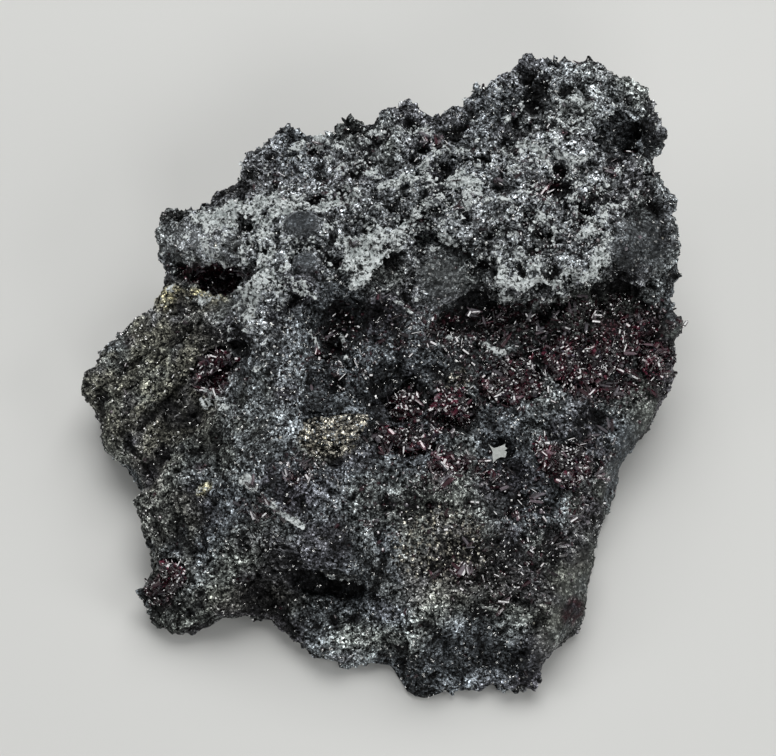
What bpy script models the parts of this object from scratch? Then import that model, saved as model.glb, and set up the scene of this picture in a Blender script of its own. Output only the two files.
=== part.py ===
"""Proustite in matrix: a loose slab of dark ore rock with small red crystals in its hollows.

Metres, +Z up. The slab lies on its flat broken underside with the crystal side up. The origin
is on that underside. Positions are drawn in millimetres on a slab of 91 by 93: +X to the right,
+Y away from the front edge, and heights above the underside.
"""

import math
import random

import bmesh
import bpy
import numpy as np
from mathutils import Euler, Matrix, Vector
from mathutils.bvhtree import BVHTree

# Driving dimensions, in metres: the slab's width sets the scale of the whole drawing, and the
# crystals and the gap round them keep their own sizes.
SLAB_WIDTH = 0.091
CRYSTAL_RADIUS = (0.0004, 0.00062)
CRYSTAL_LENGTH = (0.0019, 0.0031)
CRYSTAL_GAP = 0.0003  # between a crystal cluster and the hollow it sits in

DRAWN_WIDTH = 91.0
MM = SLAB_WIDTH / DRAWN_WIDTH
GAP = CRYSTAL_GAP / MM
BURIED = 2.0  # how far the rough underside is modelled below the flat it is cut to

# The mesh of the slab: the sculpting grid, and the number of triangles that is kept.
GRID_STEP = 1.0 * MM
MATRIX_TRIANGLES = 4300

# Widest outline of the slab seen from above, clockwise from its left tip, with the height of
# the widest point: low along the front, high along the back.
RIM = [
    (-46, -2, 7), (-46, 2, 8), (-45, 6, 8), (-43, 8, 9), (-40, 10, 10), (-37, 12, 11),
    (-36, 15, 12), (-34, 18, 14), (-36, 21, 15), (-35, 24, 16), (-33, 27, 18), (-31, 25, 19),
    (-27, 27, 20), (-25, 29, 21), (-21, 35, 22), (-18, 38, 22), (-16, 38, 22), (-13, 37, 23),
    (-9, 36, 25), (-7, 39, 26), (-4, 37, 26), (-2, 37, 26), (2, 40, 27), (4, 38, 27),
    (8, 38, 28), (11, 40, 28), (16, 42, 30), (19, 45, 30), (23, 46, 30), (27, 46, 30),
    (29, 44, 30), (31, 45, 30), (33, 43, 29), (36, 43, 28), (38, 44, 28), (39, 41, 26),
    (41, 41, 25), (42, 38, 24), (40, 37, 23), (40, 31, 22), (43, 28, 20), (44, 25, 18),
    (44, 18, 16), (45, 15, 15), (43, 12, 13), (43, 9, 12), (44, 4, 11), (43, 0, 9),
    (41, -3, 8), (38, -9, 7), (35, -13, 6), (33, -17, 5), (31, -24, 4), (31, -27, 4),
    (29, -32, 3), (27, -38, 3), (25, -40, 3), (22, -43, 3), (20, -46, 2), (12, -45, 2),
    (8, -46, 2), (5, -47, 2), (3, -46, 2), (1, -42, 2), (-6, -42, 2), (-10, -41, 2),
    (-15, -38, 3), (-18, -35, 4), (-24, -36, 4), (-27, -37, 3), (-32, -37, 3), (-35, -37, 3),
    (-37, -33, 4), (-38, -31, 4), (-35, -28, 5), (-37, -24, 5), (-37, -20, 5), (-36, -17, 6),
    (-39, -12, 6), (-43, -9, 6), (-44, -7, 6), (-44, -4, 6),
]

# The upper face is three terraces. Each has spot heights, and a cliff parts it from the next:
# the cliff's foot line gives its place in depth at stations across the slab.
FRONT_SHELF = [
    (-16, -36, 7), (-8, -35, 8), (-8, -40, 7), (0, -40, 8), (-2, -36, 8), (-14, -33, 8),
]
MAIN_FIELD = [
    (-24, 9, 18), (-28, 10, 18), (-34, 12, 15), (-28, 3, 17), (-39, 5, 12), (-43, -1, 10),
    (-35, -4, 13), (-28, -3, 14), (-23, -13, 18), (-35, -12, 11), (-27, -17, 16),
    (-30, -21, 14), (-35, -24, 11), (-24, -29, 14), (-20, -34, 11), (-27, -35, 8),
    (-33, -32, 7), (-35, -35, 6), (-17, -2, 25), (-18, -14, 24), (-15, -24, 22),
    (-26, 14, 13), (-18, 6, 25), (-8, 2, 20), (-6, -4, 19), (-9, -12, 20), (-8, -22, 19),
    (6, 15, 25), (6, 10, 23), (2, 2, 20), (-2, 6, 22), (2, -7, 18), (9, -10, 18),
    (11, 3, 19), (20, 3, 19), (26, 3, 18), (19, -4, 18), (28, -1, 17), (34, 5, 17),
    (39, 3, 15), (34, -10, 14), (25, -15, 18), (16, -16, 16), (9, -23, 19), (2, -20, 18),
    (16, -30, 18), (23, -24, 16), (29, -21, 11), (22, -39, 12), (25, -34, 12),
    (9, -36, 15), (2, -32, 17), (-5, -30, 17), (-12, -31, 16), (2, -40, 11),
    (9, -43, 10), (16, -42, 8), (19, -46, 6), (4, -46, 8),
]
PLATEAU = [
    (-31, 20, 21), (-26, 20, 22), (-24, 26, 23), (-16, 32, 25), (-9, 33, 27), (2, 34, 29),
    (9, 32, 29), (20, 40, 33), (27, 36, 35), (34, 33, 33), (37, 25, 29), (40, 17, 27),
    (41, 11, 23), (31, 14, 30), (24, 23, 30), (16, 20, 30), (6, 22, 29), (-6, 18, 29),
    (-13, 16, 29), (-19, 12, 28), (31, 10, 29), (19, 8, 28), (26, 7, 29), (-6, 9, 27),
    (15, 9, 28), (12, 38, 31), (15, 30, 29),
]
SPOT_REACH = 3.6
SHELF_CLIFF = [
    (-60, -80), (-19, -80), (-17, -34), (-10, -33), (-4, -33), (0, -36), (3, -41), (5, -80),
    (60, -80),
]
PLATEAU_CLIFF = [
    (-60, 16), (-35, 16), (-22, 15), (-20, 7), (-13, 4), (-8, 7), (-3, 7), (5, 18), (10, 15),
    (15, 6), (20, 5), (26, 6), (32, 10), (35, 10), (38, 8), (42, 10), (60, 10),
]
CLIFF_WIDTH = 1.0

# How square the slab's section is above and below its widest outline; 2 would be round.
UPPER_SQUARENESS, LOWER_SQUARENESS = 5.0, 5.0

# The body is drawn inside the rim by this much where the edge is high, because its rounded
# shoulder and the broken grain stand out there.
RIM_INSET, RIM_INSET_HEIGHT = 1.9, 26.0

# Flat breaks below the rim: the compass direction that each faces and its overhang, both in
# degrees, and how far it bites into the rim.
BREAKS = [
    (96, 14, 2.6), (62, 22, 2.6), (12, 12, 1.2), (-20, 16, 0.4), (-52, 20, 0.2),
    (130, 22, 2.2), (160, 12, 1.4), (198, 26, 0.3), (232, 24, 0.1), (270, 30, 0.0),
]
BREAK_FLATNESS = 0.9

# Knobs that stand out of the broken edges: plan position, height of the middle, radius.
KNOBS = [
    (42.2, 6.6, 16, 3.0), (41.9, 8.5, 18.5, 1.9), (-6.5, 35.3, 27, 2.4), (2, 36.8, 28, 2.2),
    (36.5, 40.2, 29, 1.9), (38.8, 36.8, 28, 2.2), (40.4, 33, 26, 1.6), (-33, 24, 19, 2.6),
    (-27, 27, 20, 1.8), (30, 41.4, 31, 2.4), (21, 42.4, 31, 2.6), (-16, 35.5, 23.5, 2.0),
    (42.8, 15, 17, 2.2), (-44, 0, 10, 2.6), (-36, -32, 6, 2.0), (-36, -20, 9, 2.0),
]

# Hollows and undercuts: middle, half sizes, and turns in degrees about X then Z.
HOLLOWS = [
    ("ledge undercut right", (21, 8.0, 20.5), (6.5, 3.6, 2.6), (-14, 8)),
    ("ledge undercut left", (12.5, 6.5, 19.5), (4.5, 2.6, 2.2), (-14, 20)),
    ("front undercut", (-8.5, -33.5, 9.5), (7.8, 3.6, 2.4), (-10, 0)),
    ("front undercut corner", (-17, -33.0, 8.0), (2.6, 3.0, 2.4), (0, 0)),
    ("left pocket", (-26, 16.5, 14.5), (5.6, 3.8, 3.4), (-12, 0)),
    ("deep vug", (-9.2, 0.6, 19.5), (1.7, 1.9, 4.5), (-20, 10)),
    ("vug above it", (-8.0, 4.6, 21.5), (1.5, 1.5, 3.5), (-20, 0)),
    ("vug at the cliff", (-3.0, 7.2, 21.0), (1.7, 1.6, 2.6), (-20, 0)),
    ("low slot", (-9.0, -5.2, 19.2), (3.2, 1.3, 2.2), (-20, 0)),
    ("crater", (24.5, 22, 30.6), (3.0, 1.9, 2.4), (0, -10)),
    ("summit vug", (22, 34.5, 32.0), (3.2, 2.4, 4.2), (-25, 25)),
    ("summit notch", (34.5, 30, 31), (4.0, 4.8, 4.2), (-20, -20)),
    ("summit cleft", (26.5, 32.5, 33), (4.5, 1.2, 2.0), (-20, -8)),
    ("nook", (5.0, 16.8, 24.5), (3.0, 2.6, 3.0), (-10, 40)),
    ("dark hollow", (18.2, -17.2, 17.0), (1.9, 2.6, 2.6), (0, -15)),
    ("toe hollow", (16.5, -43.6, 9.0), (5.2, 3.0, 3.0), (-18, -6)),
    ("toe notch", (-1.6, -42.6, 5.6), (2.6, 1.6, 0.9), (0, -10)),
    ("corner vug", (-33.5, -31, 8.5), (2.6, 3.2, 2.4), (-10, 0)),
    ("corner hollow", (-26.5, -34.8, 9.0), (3.6, 2.0, 2.0), (-10, 0)),
    ("plateau pit", (-10.5, 20.5, 29.2), (2.2, 1.5, 2.0), (0, 0)),
    ("plateau pit right", (4.5, 25.5, 29.4), (2.4, 1.5, 2.0), (0, 0)),
    ("plateau pit middle", (13.0, 26.8, 29.4), (2.2, 1.2, 1.8), (0, 15)),
    ("right pit", (16.6, 13.2, 29.0), (1.8, 1.5, 1.8), (0, 0)),
]

# Crystal clusters: plan position, half sizes of the crust along its length and width, turn of
# its length in degrees, number of crystals, seed.
CLUSTERS = {
    "proustite_ledge_cluster": ((28.8, 0.0), (6.6, 3.4), 4, 10, 3),
    "proustite_fan_cluster": ((18.5, -3.6), (4.6, 3.2), 20, 7, 5),
    "proustite_edge_cluster": ((39.3, 1.8), (1.9, 2.6), 0, 5, 8),
    "proustite_slope_cluster": ((25.5, -16.0), (5.0, 3.0), -20, 7, 13),
    "proustite_centre_cluster": ((9.4, -7.6), (3.0, 2.2), -30, 5, 21),
    "proustite_red_grain_cluster": ((2.4, -7.4), (1.5, 2.2), 0, 4, 34),
    "proustite_front_row_cluster": ((2.6, -13.4), (4.6, 1.6), -6, 6, 55),
    "proustite_low_cluster": ((8.8, -17.6), (2.6, 1.7), 10, 5, 89),
    "proustite_pocket_cluster": ((-25.0, 15.2), (3.2, 1.5), 4, 5, 144),
    "proustite_streak_cluster": ((-26.0, 0.4), (3.0, 1.4), 35, 5, 233),
    "proustite_corner_cluster": ((-31.6, -30.4), (2.1, 2.4), 0, 5, 377),
}
CRUST_THICKNESS = 0.95
CRUST_SUNK = 0.35
CRYSTAL_LEAN = 62  # degrees from upright at the cluster's edge

# The flake and the druse sit in the same kind of hollow.
DRUSE_PLACE, DRUSE_SIZE, DRUSE_TURN = (-8.0, -12.8), (6.0, 2.4), 12
DRUSE_CUBE, DRUSE_COUNT = (0.9, 1.6), 10
FLAKE_PLACE, FLAKE_SIZE = (16.3, -14.3), (1.9, 1.3, 0.55)


def new_collection(name):
    collection = bpy.data.collections.new(name)
    bpy.context.scene.collection.children.link(collection)
    return collection


def object_from(bm, name, collection, material=None):
    """Turns a bmesh in millimetres into an object in metres."""
    bm.transform(Matrix.Scale(MM, 4))
    mesh = bpy.data.meshes.new(name)
    bm.to_mesh(mesh)
    bm.free()
    if material:
        mesh.materials.append(material)
    obj = bpy.data.objects.new(name, mesh)
    collection.objects.link(obj)
    return obj


def hide_as_cutter(obj):
    obj.hide_render = True
    obj.display_type = "WIRE"


def make_material(name, colour, roughness, metallic):
    material = bpy.data.materials.new(name)
    material.use_nodes = True
    shader = material.node_tree.nodes["Principled BSDF"]
    shader.inputs["Base Color"].default_value = (*colour, 1.0)
    shader.inputs["Roughness"].default_value = roughness
    shader.inputs["Metallic"].default_value = metallic
    material.diffuse_color = (*colour, 1.0)
    return material


def spot_surface(spots, x, y):
    """A smooth surface that passes near the spot heights."""
    table = np.array(spots, float)
    away = (x[:, None] - table[:, 0]) ** 2 + (y[:, None] - table[:, 1]) ** 2
    nearest = away.min(axis=1, keepdims=True)
    weight = np.exp((nearest - away) / (2 * SPOT_REACH**2))
    return (weight * table[:, 2]).sum(axis=1) / weight.sum(axis=1)


def behind_cliff(cliff, x, y):
    """0 in front of a cliff, 1 behind it, rising over the cliff's width."""
    stations = np.array(cliff, float)
    foot = np.interp(x, stations[:, 0], stations[:, 1])
    share = np.clip((y - foot) / CLIFF_WIDTH, 0, 1)
    return share * share * (3 - 2 * share)


def left_lobe_folds(x, y):
    """The left lobe is foliated: low folds that run up to the right."""
    across = y * math.cos(math.radians(36)) - x * math.sin(math.radians(36))
    inside = np.clip((-21 - x) / 5, 0, 1) * np.clip((13 - y) / 4, 0, 1) * np.clip((y + 30) / 8, 0, 1)
    return 0.9 * inside * np.sin(2 * math.pi * across / 5.2)


def upper_face(x, y):
    """Height of the upper face: front shelf, main field and plateau with cliffs between."""
    over_shelf = behind_cliff(SHELF_CLIFF, x, y)
    over_field = behind_cliff(PLATEAU_CLIFF, x, y)
    low = spot_surface(FRONT_SHELF, x, y)
    field = spot_surface(MAIN_FIELD, x, y) + left_lobe_folds(x, y)
    high = spot_surface(PLATEAU, x, y)
    height = low + (field - low) * over_shelf
    return height + (high - height) * over_field


def rim_at(angle):
    """Radius and height of the widest outline in each direction from the middle."""
    rim = np.array(RIM, float)
    angles = np.arctan2(rim[:, 1], rim[:, 0])
    order = np.argsort(angles)
    angles, rim = angles[order], rim[order]
    radius = np.interp(angle, angles, np.hypot(rim[:, 0], rim[:, 1]), period=2 * math.pi)
    height = np.interp(angle, angles, rim[:, 2], period=2 * math.pi)
    return radius, height


def flatten_to_breaks(points):
    """Moves what stands past a break's plane back to just above it."""
    rim = np.array(RIM, float)
    for compass, overhang, bite in BREAKS:
        around, tilt = math.radians(compass), math.radians(overhang)
        level = math.cos(tilt)
        out = np.array([math.cos(around) * level, math.sin(around) * level, -math.sin(tilt)])
        distance = (rim @ out).max() - bite
        past = np.clip(points @ out - distance, 0, None)
        points = points - BREAK_FLATNESS * past[:, None] * out
    return points


def slab_body(collection, material):
    """The slab: a ball whose equator is drawn out to the rim, whose upper half follows the
    terraces and whose lower half flattens to the underside."""
    bm = bmesh.new()
    bmesh.ops.create_icosphere(bm, subdivisions=7, radius=1.0)
    ball = np.array([v.co for v in bm.verts])
    level, out = ball[:, 2], np.hypot(ball[:, 0], ball[:, 1])
    squareness = np.where(level > 0, UPPER_SQUARENESS, LOWER_SQUARENESS)
    reach = (out**squareness + np.abs(level) ** squareness) ** (-1 / squareness)
    plan, lift = out * reach, np.abs(level) * reach
    angle = np.arctan2(ball[:, 1], ball[:, 0])
    radius, rim_height = rim_at(angle)
    radius = radius - RIM_INSET * np.clip(rim_height / RIM_INSET_HEIGHT, 0, 1)
    x, y = plan * radius * np.cos(angle), plan * radius * np.sin(angle)
    face = np.where(level > 0, upper_face(x, y), -BURIED)
    z = rim_height + (face - rim_height) * lift
    for vert, place in zip(bm.verts, flatten_to_breaks(np.stack([x, y, z], axis=1))):
        vert.co = place
    for px, py, pz, size in KNOBS:
        bmesh.ops.create_icosphere(
            bm, subdivisions=3, radius=size, matrix=Matrix.Translation((px, py, pz))
        )
    return object_from(bm, "matrix", collection, material)


def cutter_of_hollows(collection):
    """Every hollow and undercut, as tapered ellipsoids in one cutter."""
    bm = bmesh.new()
    for _, middle, half, (tilt, turn) in HOLLOWS:
        place = (
            Matrix.Translation(middle)
            @ Euler((math.radians(tilt), 0, math.radians(turn))).to_matrix().to_4x4()
            @ Matrix.Diagonal((*half, 1))
        )
        bmesh.ops.create_icosphere(bm, subdivisions=3, radius=1.0, matrix=place)
    return object_from(bm, "hollows_cutter", collection)


def add_boolean(obj, operation, other):
    modifier = obj.modifiers.new(operation.title(), "BOOLEAN")
    modifier.operation = operation
    modifier.object = other
    modifier.use_self = True


def add_remesh(obj):
    modifier = obj.modifiers.new("Even grid", "REMESH")
    modifier.mode = "VOXEL"
    modifier.voxel_size = GRID_STEP


def add_roughness(obj, name, size, strength, depth):
    """Raises and lowers the broken surface by a cloud pattern of the given lump size."""
    texture = bpy.data.textures.new(name, "CLOUDS")
    texture.noise_scale = size * MM
    texture.noise_depth = depth
    modifier = obj.modifiers.new(name, "DISPLACE")
    modifier.texture = texture
    modifier.texture_coords = "LOCAL"
    modifier.strength = strength * MM
    modifier.mid_level = 0.5


def evaluated_mesh(obj):
    graph = bpy.context.evaluated_depsgraph_get()
    return bpy.data.meshes.new_from_object(obj.evaluated_get(graph))


def settle_shape(obj):
    """Turns the object's modifiers into its mesh and drops the chips that were cut free."""
    mesh = evaluated_mesh(obj)
    obj.modifiers.clear()
    obj.data = mesh
    bm = bmesh.new()
    bm.from_mesh(mesh)
    waiting = set(bm.verts)
    pieces = []
    while waiting:
        front = [waiting.pop()]
        piece = list(front)
        while front:
            vert = front.pop()
            joined = [edge.other_vert(vert) for edge in vert.link_edges]
            found = [other for other in joined if other in waiting]
            waiting.difference_update(found)
            front += found
            piece += found
        pieces.append(piece)
    pieces.sort(key=len)
    chips = [vert for piece in pieces[:-1] for vert in piece]
    bmesh.ops.delete(bm, geom=chips, context="VERTS")
    bm.to_mesh(mesh)
    bm.free()


def cut_flat_below(obj, collection):
    """Trims the underside to one plane at zero height."""
    bm = bmesh.new()
    depth = 10.0
    place = Matrix.Translation((0, 0, -depth / 2)) @ Matrix.Diagonal((140, 140, depth, 1))
    bmesh.ops.create_cube(bm, size=1.0, matrix=place)
    cutter = object_from(bm, "underside_cutter", collection)
    hide_as_cutter(cutter)
    add_boolean(obj, "DIFFERENCE", cutter)


def seat_on(tree, place, half, turn):
    """Frame of a cluster: its middle on the rock at this place, Z out of the rock."""
    samples = []
    heading = math.radians(turn)
    for along, across in ((0, 0), (0.5, 0), (-0.5, 0), (0, 0.5), (0, -0.5)):
        dx, dy = along * half[0], across * half[1]
        x = place[0] + dx * math.cos(heading) - dy * math.sin(heading)
        y = place[1] + dx * math.sin(heading) + dy * math.cos(heading)
        hit, _, _, _ = tree.ray_cast(Vector((x, y, 60)) * MM, Vector((0, 0, -1)))
        samples.append(hit / MM)
    middle = sum(samples, Vector()) / len(samples)
    along = (samples[1] - samples[2]).normalized()
    out = along.cross(samples[3] - samples[4]).normalized()
    side = out.cross(along)
    frame = Matrix((along, side, out)).transposed().to_4x4()
    return Matrix.Translation(middle) @ frame


def add_crust(bm, frame, half, thickness, grow):
    """A low crust with an uneven lobed edge."""
    made = bmesh.ops.create_icosphere(bm, subdivisions=2, radius=1.0)["verts"]
    for vert in made:
        around = math.atan2(vert.co.y, vert.co.x)
        lobe = 1 + 0.16 * math.sin(3 * around + half[0]) + 0.1 * math.sin(5 * around + 2 * half[1])
        vert.co = Vector((
            vert.co.x * (half[0] * lobe + grow),
            vert.co.y * (half[1] * lobe + grow),
            vert.co.z * (thickness + grow) - CRUST_SUNK,
        ))
    bmesh.ops.transform(bm, matrix=frame, verts=made)


def add_prism(bm, frame, radius, length, grow):
    """A six-sided crystal with a low point, standing on the frame's XY plane."""
    depth = length + grow
    made = bmesh.ops.create_cone(
        bm, cap_ends=True, segments=6, radius1=radius + grow, radius2=radius + grow,
        depth=depth, matrix=Matrix.Translation((0, 0, depth / 2)),
    )
    faces = {face for vert in made["verts"] for face in vert.link_faces}
    top = max(faces, key=lambda face: face.calc_center_median().z)
    point = bmesh.ops.poke(bm, faces=[top], offset=radius * 0.55)
    bmesh.ops.transform(bm, matrix=frame, verts=made["verts"] + point["verts"])


def crystal_frames(frame, half, count, seed):
    """Places and sizes of a cluster's crystals: feet in the crust, leaning outwards."""
    rng = random.Random(seed)
    frames = []
    for index in range(count):
        around = 2 * math.pi * (index * 0.618 + rng.uniform(-0.05, 0.05))
        out = math.sqrt((index + 0.5) / count) * 0.78
        foot = Vector((half[0] * out * math.cos(around), half[1] * out * math.sin(around), 0))
        lean = Euler((rng.uniform(-0.5, 0.5), rng.uniform(-0.5, 0.5), rng.uniform(0, 1.0)))
        tip_over = Vector((-math.sin(around), math.cos(around), 0))
        outward = Matrix.Rotation(math.radians(CRYSTAL_LEAN) * out, 4, tip_over)
        turn = outward @ lean.to_matrix().to_4x4()
        frames.append((
            frame @ Matrix.Translation(foot) @ turn,
            rng.uniform(*CRYSTAL_RADIUS) / MM,
            rng.uniform(*CRYSTAL_LENGTH) / MM,
        ))
    return frames


def crystal_cluster(name, tree, collection, cutters, material, hollow):
    """A crust with crystals grown out of it, one solid, and its form in the hollow's cutter."""
    place, half, turn, count, seed = CLUSTERS[name]
    frame = seat_on(tree, place, half, turn)
    frames = crystal_frames(frame, half, count, seed)
    crust = bmesh.new()
    add_crust(crust, frame, half, CRUST_THICKNESS, 0)
    cluster = object_from(crust, name, collection, material)
    prisms = bmesh.new()
    for spot, radius, length in frames:
        add_prism(prisms, spot, radius, length, 0)
    crystals = object_from(prisms, name + "_crystals", cutters, material)
    hide_as_cutter(crystals)
    add_boolean(cluster, "UNION", crystals)
    add_crust(hollow, frame, half, CRUST_THICKNESS, GAP)
    for spot, radius, length in frames:
        add_prism(hollow, spot, radius, length, GAP)
    return cluster


def pyrite_druse(tree, collection, cutters, material, hollow):
    """A thin crust of small brassy cubes."""
    frame = seat_on(tree, DRUSE_PLACE, DRUSE_SIZE, DRUSE_TURN)
    rng = random.Random(11)
    crust = bmesh.new()
    add_crust(crust, frame, DRUSE_SIZE, CRUST_THICKNESS, 0)
    druse = object_from(crust, "pyrite_druse", collection, material)
    cubes = bmesh.new()
    add_crust(hollow, frame, DRUSE_SIZE, CRUST_THICKNESS, GAP)
    for index in range(DRUSE_COUNT):
        around = 2 * math.pi * index * 0.618
        out = math.sqrt((index + 0.5) / DRUSE_COUNT) * 0.75
        foot = Matrix.Translation((
            DRUSE_SIZE[0] * out * math.cos(around), DRUSE_SIZE[1] * out * math.sin(around), 0.6 * (1 - out),
        ))
        turn = Euler((rng.uniform(0, 1.5), rng.uniform(0, 1.5), rng.uniform(0, 1.5))).to_matrix().to_4x4()
        side = rng.uniform(*DRUSE_CUBE)
        bmesh.ops.create_cube(cubes, size=side, matrix=frame @ foot @ turn)
        bmesh.ops.create_cube(hollow, size=side + 2 * GAP, matrix=frame @ foot @ turn)
    grains = object_from(cubes, "pyrite_druse_cubes", cutters, material)
    hide_as_cutter(grains)
    add_boolean(druse, "UNION", grains)
    return druse


def calcite_flake(tree, collection, material, hollow):
    """One pale flake, bedded at a slant."""
    frame = seat_on(tree, FLAKE_PLACE, FLAKE_SIZE[:2], 25)
    lie = frame @ Matrix.Translation((0, 0, 0.45)) @ Matrix.Rotation(math.radians(-18), 4, "X")
    flake = bmesh.new()
    add_crust(flake, lie, FLAKE_SIZE[:2], FLAKE_SIZE[2], 0)
    add_crust(hollow, lie, FLAKE_SIZE[:2], FLAKE_SIZE[2], GAP)
    return object_from(flake, "calcite_flake", collection, material)


for old in list(bpy.data.objects):
    bpy.data.objects.remove(old, do_unlink=True)

parts = new_collection("proustite_in_matrix")
cutters = new_collection("cutters")

rock = make_material("ore_rock", (0.075, 0.08, 0.082), 0.55, 0.35)
proustite = make_material("proustite", (0.11, 0.012, 0.02), 0.12, 0.25)
pyrite = make_material("pyrite", (0.42, 0.34, 0.17), 0.3, 0.9)
calcite = make_material("calcite", (0.62, 0.64, 0.62), 0.45, 0.0)

matrix = slab_body(parts, rock)
add_remesh(matrix)
hollows = cutter_of_hollows(cutters)
hide_as_cutter(hollows)
add_boolean(matrix, "DIFFERENCE", hollows)
add_roughness(matrix, "lumps", 7.0, 3.0, 1)
add_roughness(matrix, "broken grain", 2.8, 1.5, 2)
add_remesh(matrix)

whole_count = len(evaluated_mesh(matrix).polygons) * 2
decimate = matrix.modifiers.new("Fewer faces", "DECIMATE")
decimate.ratio = MATRIX_TRIANGLES / whole_count
cut_flat_below(matrix, cutters)

rock_tree = BVHTree.FromObject(matrix, bpy.context.evaluated_depsgraph_get())
pockets = bmesh.new()
for cluster_name in CLUSTERS:
    crystal_cluster(cluster_name, rock_tree, parts, cutters, proustite, pockets)
pyrite_druse(rock_tree, parts, cutters, pyrite, pockets)
calcite_flake(rock_tree, parts, calcite, pockets)
pockets_cutter = object_from(pockets, "pockets_cutter", cutters)
hide_as_cutter(pockets_cutter)
add_boolean(matrix, "DIFFERENCE", pockets_cutter)
settle_shape(matrix)
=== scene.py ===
"""Proustite in matrix: the finish of a loose slab of dark ore rock and its crystals."""
import math

import bmesh
import bpy
import numpy as np
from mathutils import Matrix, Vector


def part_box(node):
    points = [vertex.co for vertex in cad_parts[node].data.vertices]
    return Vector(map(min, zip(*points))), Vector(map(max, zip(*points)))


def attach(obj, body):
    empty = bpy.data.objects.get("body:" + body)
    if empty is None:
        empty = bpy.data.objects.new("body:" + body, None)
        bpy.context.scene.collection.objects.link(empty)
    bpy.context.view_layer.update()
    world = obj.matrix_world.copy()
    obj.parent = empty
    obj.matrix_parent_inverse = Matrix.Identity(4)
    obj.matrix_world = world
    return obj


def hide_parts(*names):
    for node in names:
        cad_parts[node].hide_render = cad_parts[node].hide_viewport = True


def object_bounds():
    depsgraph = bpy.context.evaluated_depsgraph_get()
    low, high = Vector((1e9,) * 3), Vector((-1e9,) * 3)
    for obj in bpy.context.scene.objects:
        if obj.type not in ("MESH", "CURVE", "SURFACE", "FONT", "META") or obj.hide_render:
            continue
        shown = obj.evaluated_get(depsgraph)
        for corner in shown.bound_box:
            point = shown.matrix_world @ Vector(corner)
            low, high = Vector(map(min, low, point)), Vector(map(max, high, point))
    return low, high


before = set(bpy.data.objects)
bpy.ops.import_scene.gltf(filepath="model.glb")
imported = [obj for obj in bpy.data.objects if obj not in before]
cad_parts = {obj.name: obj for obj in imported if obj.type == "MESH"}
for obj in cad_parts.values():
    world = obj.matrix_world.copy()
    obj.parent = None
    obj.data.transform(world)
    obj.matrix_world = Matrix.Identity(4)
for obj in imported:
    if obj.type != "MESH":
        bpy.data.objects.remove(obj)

MM = 0.001
solids_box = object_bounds()

# The picture. The slab lies on a plain pale table top, under one wide window-like light from
# above and behind and three weak ones, and the camera looks down on it from the front edge.
PICTURE_WIDTH, PICTURE_HEIGHT = 776, 756
CAMERA_RISE = math.radians(62)
CAMERA_AWAY = 340.0
AIM = np.array([0.0, 0.0, 12.0])
LENS, SENSOR = 105.15, 36.0


def seen_at(points):
    """Columns and rows of the picture at which the camera sees points given in mm."""
    offset = points - AIM
    sine, cosine = math.sin(CAMERA_RISE), math.cos(CAMERA_RISE)
    towards = sine * offset[:, 2] - cosine * offset[:, 1]
    up = cosine * offset[:, 2] + sine * offset[:, 1]
    scale = PICTURE_WIDTH * LENS / SENSOR / (CAMERA_AWAY - towards)
    return PICTURE_WIDTH / 2 + offset[:, 0] * scale, PICTURE_HEIGHT / 2 - up * scale


camera_data = bpy.data.cameras.new("camera")
camera_data.lens = LENS
camera_data.sensor_width = SENSOR
camera_data.clip_start = 0.01
camera = bpy.data.objects.new("camera", camera_data)
camera.location = (
    0.0,
    -math.cos(CAMERA_RISE) * CAMERA_AWAY * MM,
    (AIM[2] + math.sin(CAMERA_RISE) * CAMERA_AWAY) * MM,
)
camera.rotation_euler = (math.pi / 2 - CAMERA_RISE, 0.0, 0.0)
bpy.context.collection.objects.link(camera)
bpy.context.scene.camera = camera


def soft_light(name, place, size, power):
    """A square light that faces the middle of the slab."""
    data = bpy.data.lights.new(name, "AREA")
    data.size = size
    data.energy = power
    light = bpy.data.objects.new(name, data)
    light.location = place
    towards = light.location.copy()
    light.rotation_euler = towards.to_track_quat("Z", "Y").to_euler()
    bpy.context.collection.objects.link(light)


soft_light("window_above", (0.05, 0.46, 0.82), 0.8, 7.8)
soft_light("window_left", (-0.8, -0.1, 0.5), 0.4, 1.2)
soft_light("window_right", (0.75, -0.3, 0.45), 0.4, 2.1)
soft_light("window_front", (0.12, -0.78, 0.55), 0.35, 2.0)

world = bpy.data.worlds.new("room")
world.use_nodes = True
world.node_tree.nodes["Background"].inputs["Color"].default_value = (0.93, 0.97, 1.0, 1.0)
world.node_tree.nodes["Background"].inputs["Strength"].default_value = 0.13
bpy.context.scene.world = world
bpy.context.scene.view_settings.view_transform = "Standard"

table_shape = bmesh.new()
bmesh.ops.create_grid(table_shape, x_segments=1, y_segments=1, size=1.5)
table_mesh = bpy.data.meshes.new("table_top")
table_shape.to_mesh(table_mesh)
table_shape.free()
table = bpy.data.objects.new("table_top", table_mesh)
bpy.context.collection.objects.link(table)
laminate = bpy.data.materials.new("pale_laminate")
laminate.use_nodes = True
laminate_shader = laminate.node_tree.nodes["Principled BSDF"]
laminate_shader.inputs["Base Color"].default_value = (0.61, 0.61, 0.59, 1.0)
laminate_shader.inputs["Roughness"].default_value = 0.6
table_mesh.materials.append(laminate)

# The rock. One lump of granular ore, nearly black between its grains, broken out of the vein
# by hand. It is worn to lumps and open pits behind, where pale mineral frosts it, folded and
# stained olive at its left lobe, and split smooth along its right flank.
ROCK_GRID = 0.3
ROCK_SMOOTHING = 9
ROCK_TRIANGLES = 196000


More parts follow.
